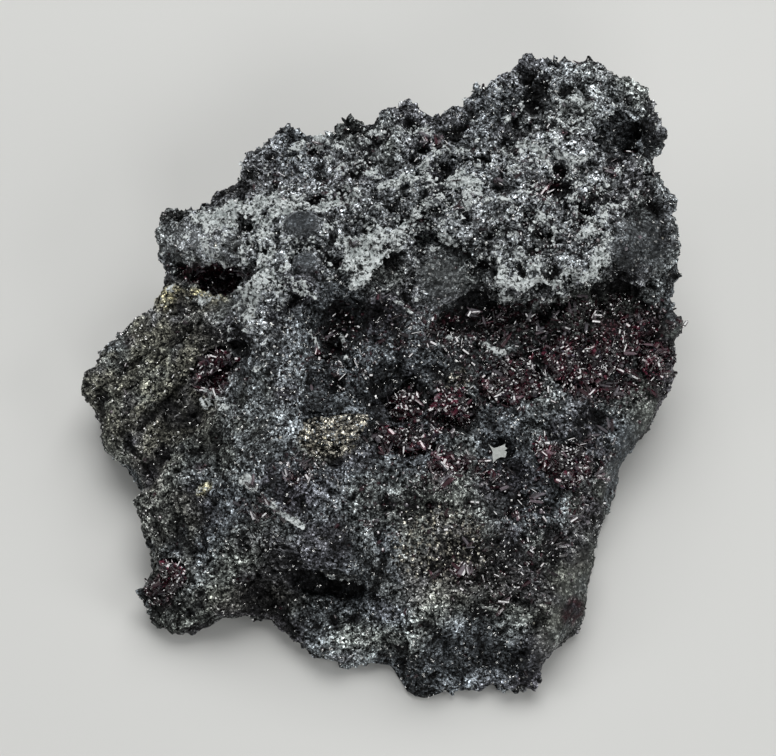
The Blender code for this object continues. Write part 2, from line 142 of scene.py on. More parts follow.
def steady_random(cells, seed):
    """A number from 0 to 1 for each row of whole numbers, always the same for the same row."""
    mixed = cells.astype(np.int64) & 0xFFFF
    key = mixed[..., 0] * 73856093 ^ mixed[..., 1] * 19349663 ^ mixed[..., 2] * 83492791
    key = (key ^ (seed * 668265263)) & 0xFFFFFFFF
    for turn in (0x45D9F3B, 0x119DE1F3):
        key = ((key ^ (key >> 16)) * turn) & 0xFFFFFFFF
    return (key ^ (key >> 16)) / float(0xFFFFFFFF)


def soft_noise(points, size, seed):
    """Smooth random lumps of about the given size, from 0 to 1."""
    place = points / size + 100.0
    cell = np.floor(place)
    inside = place - cell
    inside = inside * inside * (3 - 2 * inside)
    total = np.zeros(len(points))
    for corner in range(8):
        step = np.array([corner & 1, corner >> 1 & 1, corner >> 2 & 1])
        share = np.where(step, inside, 1 - inside).prod(axis=1)
        total += share * steady_random(cell + step, seed)
    return total


def rough_noise(points, size, seed, layers=3):
    """Soft noise with finer layers on it, from 0 to 1."""
    total, weight, full = 0.0, 1.0, 0.0
    for layer in range(layers):
        total = total + weight * soft_noise(points, size / 2**layer, seed + layer)
        full += weight
        weight *= 0.55
    return total / full


def cell_noise(points, size, seed):
    """Distance to the nearest of the points strewn one to a cell, in cells, the difference to
    the next nearest, and a number that is the same all round that nearest point."""
    place = points / size + 100.0
    cell = np.floor(place)
    nearest = np.full(len(points), 9.0)
    second = np.full(len(points), 9.0)
    mark = np.zeros(len(points))
    for number in range(27):
        step = np.array([number % 3 - 1, number // 3 % 3 - 1, number // 9 - 1])
        there = cell + step
        spot = there + np.stack([steady_random(there, seed + axis) for axis in range(3)], axis=1)
        away = np.linalg.norm(place - spot, axis=1)
        closer = away < nearest
        second = np.where(closer, nearest, np.minimum(second, away))
        mark = np.where(closer, steady_random(there, seed + 3), mark)
        nearest = np.where(closer, away, nearest)
    return nearest, second - nearest, mark


def chunk_relief(points, size, seed):
    """Heights of a surface broken into flat-faced chunks of about the given size, from -1 to 1,
    and the gaps between the chunks, 1 at the middle of a gap."""
    place = points / size + 100.0
    cell = np.floor(place)
    nearest = np.full(len(points), 9.0)
    second = np.full(len(points), 9.0)
    height = np.zeros(len(points))
    for number in range(27):
        step = np.array([number % 3 - 1, number // 3 % 3 - 1, number // 9 - 1])
        there = cell + step
        spot = there + np.stack([steady_random(there, seed + axis) for axis in range(3)], axis=1)
        tilt = np.stack([steady_random(there, seed + 5 + axis) for axis in range(3)], axis=1) - 0.5
        away = np.linalg.norm(place - spot, axis=1)
        closer = away < nearest
        second = np.where(closer, nearest, np.minimum(second, away))
        level = steady_random(there, seed + 9) - 0.5 + 1.4 * ((place - spot) * tilt).sum(axis=1)
        height = np.where(closer, level, height)
        nearest = np.where(closer, away, nearest)
    return height, smooth_step(0.16, 0.02, second - nearest)


def stirred(points, size, far, seed):
    """Points moved about at random by up to the given distance, so that cells lose their
    round and even look."""
    moved = [rough_noise(points, size, seed + 10 * axis, 2) - 0.5 for axis in range(3)]
    return points + 2 * far * np.column_stack(moved)


def smooth_step(low, high, value):
    share = np.clip((value - low) / (high - low), 0, 1)
    return share * share * (3 - 2 * share)


def patches(seen, facing, table_of_patches):
    """Strength from 0 to 1 of soft-edged oval patches: the column and row of the middle, half
    length, half height, turn in degrees and strength. They show only on what faces up."""
    column, row = seen
    strength = np.zeros(len(column))
    for middle_x, middle_y, half_x, half_y, turn, weight in table_of_patches:
        cosine, sine = math.cos(math.radians(turn)), math.sin(math.radians(turn))
        along = (column - middle_x) * cosine + (row - middle_y) * sine
        across = (row - middle_y) * cosine - (column - middle_x) * sine
        away = np.hypot(along / half_x, across / half_y)
        strength = np.maximum(strength, weight * smooth_step(1.3, 0.6, away))
    return strength * facing


def bands(seen, facing, breakup, table_of_bands):
    """Strength from 0 to 1 of ragged bands: half width, strength, and the columns and rows that
    a band runs through. They show only on what faces up."""
    column, row = seen
    strength = np.zeros(len(column))
    for half_width, weight, places in table_of_bands:
        away = np.full(len(column), 999.0)
        for (x0, y0), (x1, y1) in zip(places, places[1:]):
            along = ((column - x0) * (x1 - x0) + (row - y0) * (y1 - y0)) / ((x1 - x0) ** 2 + (y1 - y0) ** 2)
            along = np.clip(along, 0, 1)
            gap = np.hypot(column - x0 - along * (x1 - x0), row - y0 - along * (y1 - y0))
            away = np.minimum(away, gap)
        away = away / (half_width * (0.35 + 1.3 * breakup))
        strength = np.maximum(strength, weight * smooth_step(1.5, 0.5, away))
    return strength * facing


# Where the pale frost lies thickest, as the camera sees it.
FROST_PATCHES = [
    (222, 222, 40, 12, -8, 0.7), (290, 208, 46, 14, -6, 0.75), (345, 225, 34, 22, 0, 0.75),
    (372, 248, 30, 20, -25, 0.95), (300, 245, 20, 26, 30, 0.7), (272, 275, 16, 24, -20, 0.95),
    (345, 268, 26, 12, -15, 0.8), (306, 288, 14, 7, 0, 0.8), (276, 306, 14, 8, -20, 0.7),
    (252, 322, 9, 12, 20, 0.95), (262, 355, 10, 24, 20, 0.55), (420, 195, 46, 16, -10, 0.55),
    (400, 222, 22, 12, -20, 0.6), (470, 170, 40, 18, -10, 0.5), (540, 160, 44, 24, 0, 0.55),
    (556, 232, 30, 26, 10, 0.55), (505, 258, 22, 12, 0, 0.65), (530, 268, 30, 9, -12, 0.8),
    (580, 268, 30, 9, -18, 0.8), (512, 284, 26, 8, -8, 0.8), (560, 282, 34, 7, -8, 0.8),
    (505, 300, 7, 8, 0, 1.0), (622, 206, 24, 9, -25, 0.85), (592, 194, 16, 8, 0, 0.75),
    (592, 157, 12, 5, 0, 0.8), (520, 112, 7, 10, 20, 0.9), (577, 100, 10, 6, 0, 0.8),
    (507, 151, 10, 8, 0, 0.8), (430, 243, 22, 7, -25, 0.75), (452, 341, 20, 7, -8, 0.7),
    (472, 341, 11, 6, -15, 0.95), (226, 408, 9, 7, 0, 0.85), (204, 402, 6, 7, 0, 0.75),
    (202, 490, 9, 6, -35, 0.8), (205, 302, 9, 5, 0, 0.85), (280, 516, 26, 9, 25, 0.5),
    (318, 342, 8, 15, -10, 0.6), (185, 245, 30, 12, 0, 0.45), (345, 165, 40, 14, 0, 0.4),
    (600, 232, 26, 12, -20, 0.6), (640, 220, 20, 10, 0, 0.5),
]
FROST_BANDS = [
    (8, 1.3, [(196, 222), (222, 216), (250, 208), (280, 203), (312, 208), (340, 204)]),
    (6, 1.3, [(340, 204), (366, 192), (395, 183), (425, 178), (455, 183), (478, 186)]),
    (4, 1.2, [(430, 240), (442, 238), (456, 246)]), (4, 1.2, [(466, 196), (480, 194), (490, 200)]),
    (9, 1.15, [(262, 214), (265, 236), (266, 262), (258, 288), (254, 312), (250, 330)]),
    (9, 1.35, [(418, 216), (400, 232), (384, 246), (368, 262), (352, 280)]),
    (6, 1.2, [(322, 219), (341, 230), (352, 244), (350, 262), (340, 274)]),
    (5, 0.9, [(286, 268), (300, 288), (312, 292)]),
    (6, 1.35, [(497, 246), (500, 266), (505, 284), (530, 284), (560, 280)]),
    (7, 1.35, [(560, 280), (585, 270), (602, 256), (614, 236)]),
    (5, 1.0, [(500, 284), (504, 302)]),
    (5, 0.9, [(636, 196), (620, 206), (606, 216), (596, 232)]),
    (4, 0.9, [(543, 182), (546, 196), (560, 202), (575, 196), (578, 184), (566, 176), (550, 176), (543, 182)]),
    (5, 0.85, [(478, 186), (496, 196), (510, 210), (520, 226), (516, 244)]),
    (4, 0.85, [(533, 222), (540, 214), (550, 222), (556, 238), (546, 250)]),
    (4, 0.85, [(505, 120), (517, 108), (528, 102)]),
    (5, 0.85, [(565, 102), (580, 98), (592, 104)]),
    (4, 0.7, [(600, 118), (612, 112)]),
    (5, 0.8, [(455, 150), (480, 158), (510, 150), (540, 152), (570, 160), (598, 156)]),
    (5, 0.8, [(330, 160), (345, 172), (360, 168), (380, 176)]),
    (5, 0.7, [(420, 178), (430, 160), (445, 150)]),
    (5, 0.7, [(290, 150), (320, 142), (350, 150), (390, 130), (430, 130)]),
    (3, 0.9, [(441, 341), (462, 338), (480, 342), (505, 352)]),
    (3, 1.0, [(312, 330), (316, 345), (324, 356)]),
    (3, 0.9, [(336, 330), (345, 342), (347, 356)]),
    (4, 1.1, [(245, 478), (262, 498), (282, 512), (303, 526)]),
    (3, 0.8, [(228, 330), (232, 352), (226, 372), (236, 392)]),
    (5, 0.6, [(172, 290), (200, 300), (225, 303), (240, 310)]),
    (3, 0.85, [(196, 384), (214, 396), (228, 410)]),
    (3, 0.8, [(456, 232), (466, 244), (462, 256)]),
    (3, 0.6, [(395, 300), (420, 318), (436, 336)]),
    (3, 0.6, [(540, 365), (552, 380), (548, 400)]),
]
# Furrows: the surface sinks along them, and painted shade darkens them.
FURROWS = [
    (4, 1.0, [(232, 345), (205, 362), (180, 385), (160, 410), (140, 430)]),
    (3, 0.9, [(180, 330), (150, 352), (120, 372), (95, 392)]),
    (3, 0.8, [(200, 322), (172, 340), (150, 366), (118, 396)]),
    (4, 0.9, [(228, 412), (212, 440), (216, 470)]),
    (3, 0.8, [(165, 412), (160, 440), (175, 470)]),
    (3, 0.8, [(120, 430), (135, 455), (150, 480)]),
    (4, 0.9, [(378, 535), (384, 560), (376, 585)]),
    (3, 0.9, [(286, 248), (300, 244), (320, 247)]),
    (4, 0.8, [(276, 232), (280, 256), (278, 276)]),
    (4, 0.8, [(330, 214), (334, 236), (326, 262)]),
    (3, 0.8, [(300, 470), (330, 492), (352, 498)]),
    (3, 0.7, [(395, 478), (420, 500), (452, 508)]),
    (3, 0.7, [(440, 540), (470, 548), (500, 540)]),
    (3, 0.7, [(470, 500), (500, 512), (536, 508)]),
    (4, 0.8, [(455, 600), (480, 606), (510, 598)]),
    (3, 0.8, [(395, 610), (402, 640), (396, 668)]),
    (3, 0.7, [(430, 615), (446, 650), (450, 676)]),
    (3, 0.7, [(245, 540), (252, 566), (262, 590)]),
    (3, 0.7, [(180, 510), (200, 530), (205, 560)]),
    (3, 0.8, [(395, 330), (400, 360), (392, 388)]),
    (3, 0.8, [(350, 392), (380, 400), (398, 392)]),
    (3, 0.7, [(560, 408), (585, 420), (604, 416)]),
    (4, 0.8, [(598, 300), (612, 318), (632, 322)]),
]
# Where the rock is darkened toward near black: painted shade under the ledge's lip, below overhangs and in
# notches and hollows, and darker tone in the red belt and elsewhere.
SHADE_AND_DARK_PATCHES = [
    (432, 262, 26, 38, 0, 0.35), (620, 276, 20, 30, 0, 0.8), (570, 322, 60, 14, -8, 0.45),
    (650, 240, 22, 40, 0, 0.4),
    (330, 336, 26, 30, 0, 0.5), (196, 443, 30, 34, 0, 0.45), (578, 584, 13, 52, 20, 0.5),
    (183, 607, 22, 12, 0, 0.6), (120, 420, 26, 24, 0, 0.35), (512, 480, 14, 26, 0, 0.6),
    (480, 316, 60, 20, -6, 0.6), (655, 120, 16, 40, 0, 0.5), (545, 90, 24, 12, 10, 0.6),
    (500, 661, 34, 14, -8, 0.5), (395, 560, 20, 30, 0, 0.35), (280, 602, 30, 14, 0, 0.5),
    (595, 350, 74, 34, -4, 0.6), (510, 382, 44, 24, 0, 0.5), (450, 410, 34, 26, 0, 0.4),
]
# Where the rock is made paler and its mottling evener: painted light on the lower front and the toe, which the
# lamps light little, and paler stone elsewhere.
PALE_AND_LIT_PATCHES = [
    (430, 640, 120, 56, 0, 0.8), (165, 400, 80, 80, 0, 0.25), (200, 540, 70, 50, 0, 0.25),
    (540, 560, 50, 60, 0, 0.35), (380, 520, 90, 50, 0, 0.35), (290, 560, 60, 30, 0, 0.4),
    (585, 560, 14, 50, 25, 0.6), (200, 245, 50, 26, 0, 0.2), (570, 100, 90, 50, 0, 0.4),
    (470, 410, 110, 70, 0, 0.35), (345, 160, 110, 30, -8, 0.3), (486, 645, 44, 40, 0, 1.3),
]
POWDER_PATCHES = [
    (265, 400, 46, 96, 12, 1.0), (300, 360, 26, 60, 0, 0.7), (375, 440, 30, 30, 0, 0.35),
    (540, 400, 60, 22, 0, 0.35), (585, 430, 30, 14, 20, 0.4), (450, 400, 24, 14, 0, 0.3),
]
OLIVE_PATCHES = [
    (150, 380, 74, 92, 0, 1.0), (180, 300, 44, 24, 0, 0.9), (165, 530, 40, 60, 0, 0.6),
    (330, 445, 34, 20, 0, 0.6), (440, 560, 80, 60, 0, 0.35), (250, 600, 60, 16, 0, 0.4),
    (566, 606, 26, 60, 20, 0.4),
]
OCHRE_PATCHES = [
    (172, 294, 15, 8, 0, 1.0), (193, 294, 12, 5, 0, 1.0), (204, 489, 10, 5, -35, 0.8),
    (165, 300, 12, 12, 0, 0.5), (215, 300, 14, 6, 0, 0.4),
]
RED_PATCHES = [
    (585, 352, 50, 16, -4, 1.0), (630, 328, 34, 14, 0, 0.9), (510, 368, 16, 13, 0, 1.0),
    (505, 388, 26, 12, 0, 0.8), (600, 386, 34, 12, 0, 0.6), (404, 406, 10, 14, 0, 1.0),
    (450, 408, 18, 22, 30, 0.6), (212, 274, 32, 12, 0, 1.0), (212, 374, 16, 20, 25, 0.8),
    (200, 466, 8, 4, 0, 0.7), (130, 341, 6, 7, 0, 0.5), (440, 476, 9, 14, 0, 0.5),
    (490, 476, 12, 9, 0, 0.5), (160, 592, 14, 16, 0, 0.7), (574, 612, 11, 15, 20, 1.0),
    (568, 132, 7, 5, 0, 0.8), (612, 170, 8, 7, 0, 0.8), (545, 190, 20, 10, 0, 0.5),
    (448, 320, 12, 6, 0, 0.6), (655, 360, 14, 26, 0, 0.5),
]
BRASS_PATCHES = [
    (328, 440, 30, 18, 0, 1.0), (455, 386, 12, 24, 20, 0.5), (440, 545, 50, 40, 0, 0.35),
]
FLANK_PATCHES = [
    (632, 455, 20, 60, 28, 1.0), (672, 330, 14, 20, 20, 0.9), (446, 286, 24, 40, -20, 0.8),
    (200, 246, 44, 22, 0, 0.6), (230, 310, 24, 10, 0, 0.6), (574, 596, 18, 62, 20, 1.0),
    (548, 648, 16, 34, 30, 0.8),
]
DUST_PATCHES = [
    (350, 150, 130, 30, -8, 0.35), (440, 300, 40, 50, 0, 0.35), (290, 228, 130, 44, -8, 1.0),
    (480, 190, 120, 50, -10, 0.85), (550, 250, 80, 44, -12, 0.9), (560, 100, 90, 40, 10, 0.4),
    (570, 165, 60, 40, 0, 0.8), (260, 300, 30, 50, 0, 0.8), (400, 220, 60, 50, 0, 0.7),
]
# Hollows: the surface sinks there, and painted shade darkens them toward near black and thins their frost.
HOLLOW_PATCHES = [
    (490, 315, 40, 13, -6, 1.0), (560, 305, 44, 8, -16, 0.5), (614, 134, 18, 26, -20, 0.25),
    (560, 189, 14, 11, 0, 1.0), (540, 232, 8, 7, 0, 1.0), (332, 345, 9, 11, 0, 1.0),
    (534, 97, 12, 14, 20, 0.9), (625, 300, 20, 24, 0, 0.2), (328, 586, 46, 11, 8, 1.0),
    (505, 450, 8, 14, 0, 0.8), (345, 215, 10, 7, 0, 0.6), (442, 176, 12, 6, -20, 0.6),
    (500, 186, 9, 8, 0, 0.7), (470, 222, 9, 6, 0, 0.6), (395, 262, 9, 9, 0, 0.7),
    (500, 660, 26, 9, -8, 0.7), (355, 312, 26, 12, 0, 0.5), (480, 300, 22, 10, -20, 0.6),
    (390, 166, 10, 8, 0, 0.6), (250, 270, 7, 14, 20, 0.6),
    (430, 505, 7, 5, 0, 0.7), (348, 500, 6, 5, 0, 0.6), (470, 405, 12, 9, 0, 0.5),
    (585, 205, 7, 6, 0, 0.7), (602, 228, 6, 5, 0, 0.6), (650, 190, 8, 7, 0, 0.5),
    (300, 500, 7, 5, 0, 0.6), (240, 350, 7, 8, 0, 0.5), (555, 505, 8, 5, 0, 0.6),
]
RIDGE_PATCHES = [
    (292, 375, 16, 58, 8, 1.0), (555, 268, 60, 9, -14, 1.0), (262, 300, 12, 34, 12, 0.8),
    (303, 224, 18, 14, 0, 1.0), (306, 262, 14, 10, 0, 0.9), (230, 440, 10, 40, 0, 0.5),
    (430, 480, 60, 8, -12, 0.5), (470, 530, 70, 9, -8, 0.5), (420, 590, 80, 10, 4, 0.5),
    (540, 470, 40, 8, 20, 0.4), (340, 520, 30, 30, 0, 0.4),
]
SWOLLEN_PATCHES = [
    (488, 82, 24, 16, -35, 1.5), (157, 256, 9, 26, 0, 1.3), (312, 128, 26, 8, 0, 1.0),
    (380, 112, 18, 8, 0, 1.0), (674, 225, 8, 36, 0, 1.0), (450, 112, 16, 8, 0, 0.6),
    (490, 684, 26, 8, 0, 1.2),
]
WASTED_PATCHES = [
    (656, 130, 14, 36, 0, 1.6), (164, 210, 12, 12, 0, 1.2), (344, 117, 7, 8, 0, 0.9),
    (407, 102, 8, 7, 0, 0.9), (590, 60, 20, 8, 0, 0.6), (278, 128, 7, 6, 0, 0.5),
    (526, 696, 9, 7, 0, 1.3),
]
DOME_PATCHES = [(303, 224, 18, 13, 0, 1.0), (306, 263, 13, 9, 0, 1.0), (640, 245, 30, 34, 0, 0.6)]

# The front edge of the crumbly, pitted country, as columns and rows of the picture.
CRUMBLY_EDGE = [
    (0, 300), (250, 330), (330, 305), (400, 290), (450, 330), (560, 302), (610, 285), (776, 300),
]

NEARLY_BLACK = (0.01, 0.0105, 0.0115)
ORE_GREY = (0.3, 0.335, 0.365)
OLIVE_GREY = (0.31, 0.335, 0.31)
PLUM_BLACK = (0.1, 0.086, 0.112)
DUST_GREY = (0.66, 0.7, 0.73)
POWDER_GREY = (0.48, 0.53, 0.56)
OLIVE_BROWN = (0.42, 0.415, 0.33)
OCHRE = (0.95, 0.88, 0.56)
DEEP_RED = (0.12, 0.011, 0.02)
BRASS = (0.8, 0.7, 0.45)


def rock_zones(points, normals):
    """What the rock is like at points in mm: a dictionary of strengths from 0 to 1."""
    seen = seen_at(points)
    towards_camera = np.array([0, -math.cos(CAMERA_RISE), math.sin(CAMERA_RISE)])
    facing = smooth_step(-0.25, 0.1, normals @ towards_camera)
    breakup = rough_noise(points, 3.2, 40)
    edge_columns, edge_rows = np.array(CRUMBLY_EDGE, float).T
    behind = smooth_step(8, -8, seen[1] - np.interp(seen[0], edge_columns, edge_rows))
    hidden = 1 - facing
    zones = {
        "facing": facing,
        "crumbly": np.maximum(behind * facing, hidden * (points[:, 1] > 0)),
        "breakup": breakup,
    }
    for name, table_of_patches in (
        ("frost", FROST_PATCHES), ("powder", POWDER_PATCHES), ("olive", OLIVE_PATCHES),
        ("ochre", OCHRE_PATCHES), ("red", RED_PATCHES), ("brass", BRASS_PATCHES),
        ("flank", FLANK_PATCHES), ("dust", DUST_PATCHES), ("hollow", HOLLOW_PATCHES),
        ("ridge", RIDGE_PATCHES), ("dome", DOME_PATCHES), ("dark", SHADE_AND_DARK_PATCHES),
        ("pale", PALE_AND_LIT_PATCHES), ("swollen", SWOLLEN_PATCHES), ("wasted", WASTED_PATCHES),
    ):
        zones[name] = patches(seen, facing, table_of_patches)
    zones["furrow"] = bands(seen, facing, breakup, FURROWS)
    band = bands(seen, facing, breakup, FROST_BANDS)
    hidden_frost = 0.55 * hidden * smooth_step(0.5, 0.7, rough_noise(points, 14.0, 60))
    thin_frost = 0.06 * zones["crumbly"] + 0.42 * zones["dust"]
    frost = np.maximum(np.maximum(0.8 * zones["frost"], thin_frost), hidden_frost)
    frost = np.maximum(frost, 0.85 * band)
    lace = 1 - 2 * np.abs(rough_noise(stirred(points, 1.5, 0.5, 150), 2.6, 140, 2) - 0.5)
    clods = rough_noise(points, 1.5, 160, 2) - 0.5
    crust = 1.0 * (breakup - 0.5) + 1.5 * (lace - 0.84) + 1.1 * clods
    frost = frost + crust * smooth_step(0.05, 0.4, frost) - 1.5 * zones["dome"]
    zones["frost"] = np.clip(frost, 0, 1) * (1 - 0.75 * zones["hollow"]) * (1 - 0.5 * zones["furrow"])
    zones["dust"] = np.maximum(zones["dust"], 0.35 * hidden)
    zones["olive"] = np.maximum(zones["olive"], 0.5 * hidden) * smooth_step(0.3, 0.6, breakup)
    return zones


def tint_of(points, zones, height, pit):
    """The colour of the rock in its zones, with painted light on its heights and in the pale patches,
    and painted shade low down, in the dark patches and in its pits, gaps, creases, hollows and furrows.
    The frost is added over it."""
    tint = np.tile(ORE_GREY, (len(points), 1))
    broad = rough_noise(points, 7.0, 81, 2)
    patchy = rough_noise(points, 2.4, 84)
    grain = rough_noise(points, 0.8, 80, 2)
    even = np.minimum(zones["pale"], 1)
    for colour, strength in (
        (OLIVE_GREY, smooth_step(0.35, 0.7, rough_noise(points, 11.0, 87, 2))),
        (PLUM_BLACK, 0.75 * smooth_step(0.56, 0.34, broad) * (1 - 0.5 * even)),
        (OLIVE_BROWN, 0.8 * zones["olive"]),
        (POWDER_GREY, 0.8 * zones["powder"] * smooth_step(0.3, 0.55, patchy)),
        (DUST_GREY, np.maximum(1.2 * zones["dust"], 0.25 * zones["crumbly"]) * smooth_step(0.2, 0.5, patchy)),
        (0.36 * np.array(ORE_GREY), zones["dome"]),
        (BRASS, 0.3 * zones["brass"] * grain),
        (PLUM_BLACK, 0.9 * zones["red"]),
        (DEEP_RED, 0.9 * zones["red"] * smooth_step(0.4, 0.6, grain)),
        (OCHRE, zones["ochre"] * smooth_step(0.15, 0.45, patchy)),
        # Painted shade: near black in the dark patches, and in the pits, gaps, creases, hollows and furrows.
        (NEARLY_BLACK, 0.75 * zones["dark"]),
        (NEARLY_BLACK, np.clip(pit, 0, 1)),
    ):
        tint = tint + (np.array(colour) - tint) * np.clip(strength, 0, 1)[:, None]
    # Painted light and shade: paler on the heights and darker low down, and paler still in the pale patches.
    painted_relief_light = (0.18 + 1.25 * smooth_step(-0.9, 0.9, height)) * (1.1 + 1.5 * zones["pale"])
    mottled = 0.15 + 1.6 * patchy
    mottled += 0.55 * even * (0.9 - mottled)
    return tint * (painted_relief_light * mottled)[:, None]


def mesh_values(mesh, kind, name, width):
    """An array of a named value of the vertices or triangles of a mesh."""
    store = getattr(mesh, kind)
    values = np.empty(len(store) * width, np.float32)
    store.foreach_get(name, values)
    return values.reshape(-1, width).astype(float)


def merged_copy(node):
    """The node's own shape as a bmesh, with its loose triangles joined."""
    shape = bmesh.new()
    shape.from_mesh(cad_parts[node].data)
    bmesh.ops.remove_doubles(shape, verts=shape.verts, dist=1e-6)
    return shape


def even_copy(node, grid, smoothing):
    """The node's shape on an even grid, with its flat facets rounded."""
    shape = merged_copy(node)
    mesh = bpy.data.meshes.new(node + "_rough")
    shape.to_mesh(mesh)
    shape.free()
    rough = bpy.data.objects.new(node + "_rough", mesh)
    bpy.context.collection.objects.link(rough)
    remesh = rough.modifiers.new("Even grid", "REMESH")
    remesh.mode = "VOXEL"
    remesh.voxel_size = grid * MM
    even = bpy.data.meshes.new_from_object(rough.evaluated_get(bpy.context.evaluated_depsgraph_get()))
    bpy.data.objects.remove(rough)
    shape = bmesh.new()
    shape.from_mesh(even)
    for _ in range(smoothing):
        bmesh.ops.smooth_vert(
            shape, verts=shape.verts, factor=0.5,
            use_axis_x=True, use_axis_y=True, use_axis_z=True,
        )
    shape.to_mesh(even)
    shape.free()
    return even


def add_colours(mesh, name, colours):
    """Keeps a colour for each vertex."""
    layer = mesh.color_attributes.new(name, "FLOAT_COLOR", "POINT")
    layer.data.foreach_set("color", np.column_stack([colours, np.ones(len(colours))]).astype(np.float32).ravel())


def add_strength(mesh, name, strength):
    """Keeps a number for each vertex."""
    layer = mesh.attributes.new(name, "FLOAT", "POINT")
    layer.data.foreach_set("value", strength.astype(np.float32))


def add_part(mesh, name, material, node=None):
    """Links a finished mesh as a piece of the slab."""
    mesh.name = name
    mesh.materials.clear()
    mesh.materials.append(material)
    part = bpy.data.objects.new(name, mesh)
    bpy.context.collection.objects.link(part)
    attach(part, "root")
    if node:
        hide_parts(node)
    return part


def relief_of(points, zones):
    """How far the broken surface stands out of the slab's form, in mm, and the painted shade of its
    pits, gaps, creases, hollows and furrows, from 0 to 1."""
    lumps = rough_noise(points, 5.0, 1) - 0.5
    astir = stirred(points, 1.8, 0.9, 120)
    away, rim, mark = cell_noise(astir, 3.4, 11)
    knob_away, knob_rim, knob_mark = cell_noise(astir, 2.3, 17)
    small_away, small_rim, small_mark = cell_noise(stirred(points, 1.0, 0.35, 130), 1.25, 23)
    crumbly = zones["crumbly"] * (1 - zones["flank"]) * (1 - zones["dome"])
    pit = smooth_step(0.52, 0.3, away) * (mark < 0.1 + 0.22 * crumbly)
    small_pit = smooth_step(0.55, 0.3, knob_away) * (knob_mark < 0.14 + 0.2 * crumbly)
    fold = points[:, 1] * math.cos(math.radians(38)) - points[:, 0] * math.sin(math.radians(38))
    folds = np.abs(np.sin(fold * 0.95 + 5 * soft_noise(points, 7.0, 29))) - 0.6
    folds = (folds + 0.3 * np.sin(fold * 3.4 + 5 * soft_noise(points, 4.0, 33))) * zones["olive"]
    gentle = (1 - 0.55 * zones["powder"]) * (1 - 0.75 * zones["flank"]) * (1 - 0.7 * zones["dome"])
    gentle = gentle * (1 - 0.35 * zones["olive"])
    slabs, slab_gaps = chunk_relief(astir, 6.5, 55)
    blocks, block_gaps = chunk_relief(astir, 3.2, 58)
    chunks, gaps = chunk_relief(points, 1.7, 61)
    crumbs, crumb_gaps = chunk_relief(points, 0.95, 67)
    swells = rough_noise(points, 9.0, 31, 2) - 0.5
    relief = gentle * (
        (1.2 + 0.7 * crumbly) * lumps
        + 1.6 * (1 - crumbly) * swells
        + 0.7 * (1 - crumbly) * slabs + (0.4 + 0.2 * crumbly) * blocks
        + (0.15 + 0.55 * crumbly) * (0.6 - knob_away**2)
        + (0.1 + 0.3 * crumbly) * (0.6 - small_away**2)
        - (0.5 + 0.9 * crumbly) * pit
        - (0.3 + 0.5 * crumbly) * small_pit
        + (0.28 + 0.1 * crumbly) * chunks - 0.2 * gaps - 0.2 * block_gaps
    )
    relief += 0.6 * folds + (0.5 + 0.5 * gentle) * (0.26 * crumbs - 0.18 * crumb_gaps)
    relief += 0.55 * smooth_step(0.4, 0.54, zones["frost"]) + 0.7 * zones["ridge"]
    relief += 0.9 * zones["dome"] - 1.4 * zones["hollow"] * (0.5 + zones["breakup"])
    relief += zones["swollen"] - zones["wasted"] - 0.8 * zones["furrow"]
    # Painted shade: the pits, gaps, creases, hollows and furrows, darkened in the colour.
    creases = np.maximum(smooth_step(0.2, 0.05, knob_rim), smooth_step(0.25, 0.05, small_rim))
    dark = np.maximum(np.maximum(pit, small_pit) * gentle, 0.6 * np.maximum(gaps, crumb_gaps))
    dark = np.maximum(dark, 0.45 * np.maximum(slab_gaps * (1 - crumbly), block_gaps))
    dark = np.maximum(dark, 0.65 * creases)
    return relief, np.maximum(dark, np.maximum(0.85 * zones["hollow"], 0.7 * zones["furrow"]))


def clipped(mesh):
    """Keeps a mesh within the box of the solids."""
    points = np.clip(mesh_values(mesh, "vertices", "co", 3) / MM, low, high)
    mesh.vertices.foreach_set("co", (points * MM).astype(np.float32).ravel())
    mesh.update()


def thinned(mesh, triangles):
    """The mesh with fewer triangles where it is flattest."""
    whole = bpy.data.objects.new("whole", mesh)
    bpy.context.collection.objects.link(whole)
    fewer = whole.modifiers.new("Fewer faces", "DECIMATE")
    fewer.ratio = min(1.0, triangles / (2 * len(mesh.polygons)))
    thin = bpy.data.meshes.new_from_object(whole.evaluated_get(bpy.context.evaluated_depsgraph_get()))
    bpy.data.objects.remove(whole)
    return thin


low, high = (np.array(corner) / MM for corner in solids_box)
rock_mesh = even_copy("matrix", ROCK_GRID, ROCK_SMOOTHING)
rock_points = mesh_values(rock_mesh, "vertices", "co", 3) / MM
rock_normals = mesh_values(rock_mesh, "vertices", "normal", 3)
rock_zone = rock_zones(rock_points, rock_normals)
rock_relief, rock_pit_shade = relief_of(rock_points, rock_zone)
underside = smooth_step(1.2, 0.2, rock_points[:, 2]) * smooth_step(-0.3, -0.8, rock_normals[:, 2])
rock_relief = rock_relief * (1 - underside) - 0.5 * underside * rough_noise(rock_points, 3.0, 70)
broken_points = rock_points + rock_normals * (rock_relief - 0.3)[:, None]
rock_mesh.vertices.foreach_set("co", (broken_points * MM).astype(np.float32).ravel())
# The tint carries painted light on the heights and painted shade in the pits, gaps and hollows, where the frost
# is thinned too.
add_colours(rock_mesh, "tint", tint_of(rock_points, rock_zone, rock_relief, rock_pit_shade))
add_strength(rock_mesh, "frost", rock_zone["frost"] - 0.5 * rock_pit_shade)
add_strength(rock_mesh, "calm", np.maximum(0.42 * rock_zone["flank"], 0.55 * rock_zone["dome"]))
rock_mesh = thinned(rock_mesh, ROCK_TRIANGLES)
clipped(rock_mesh)
rock_mesh.shade_flat()


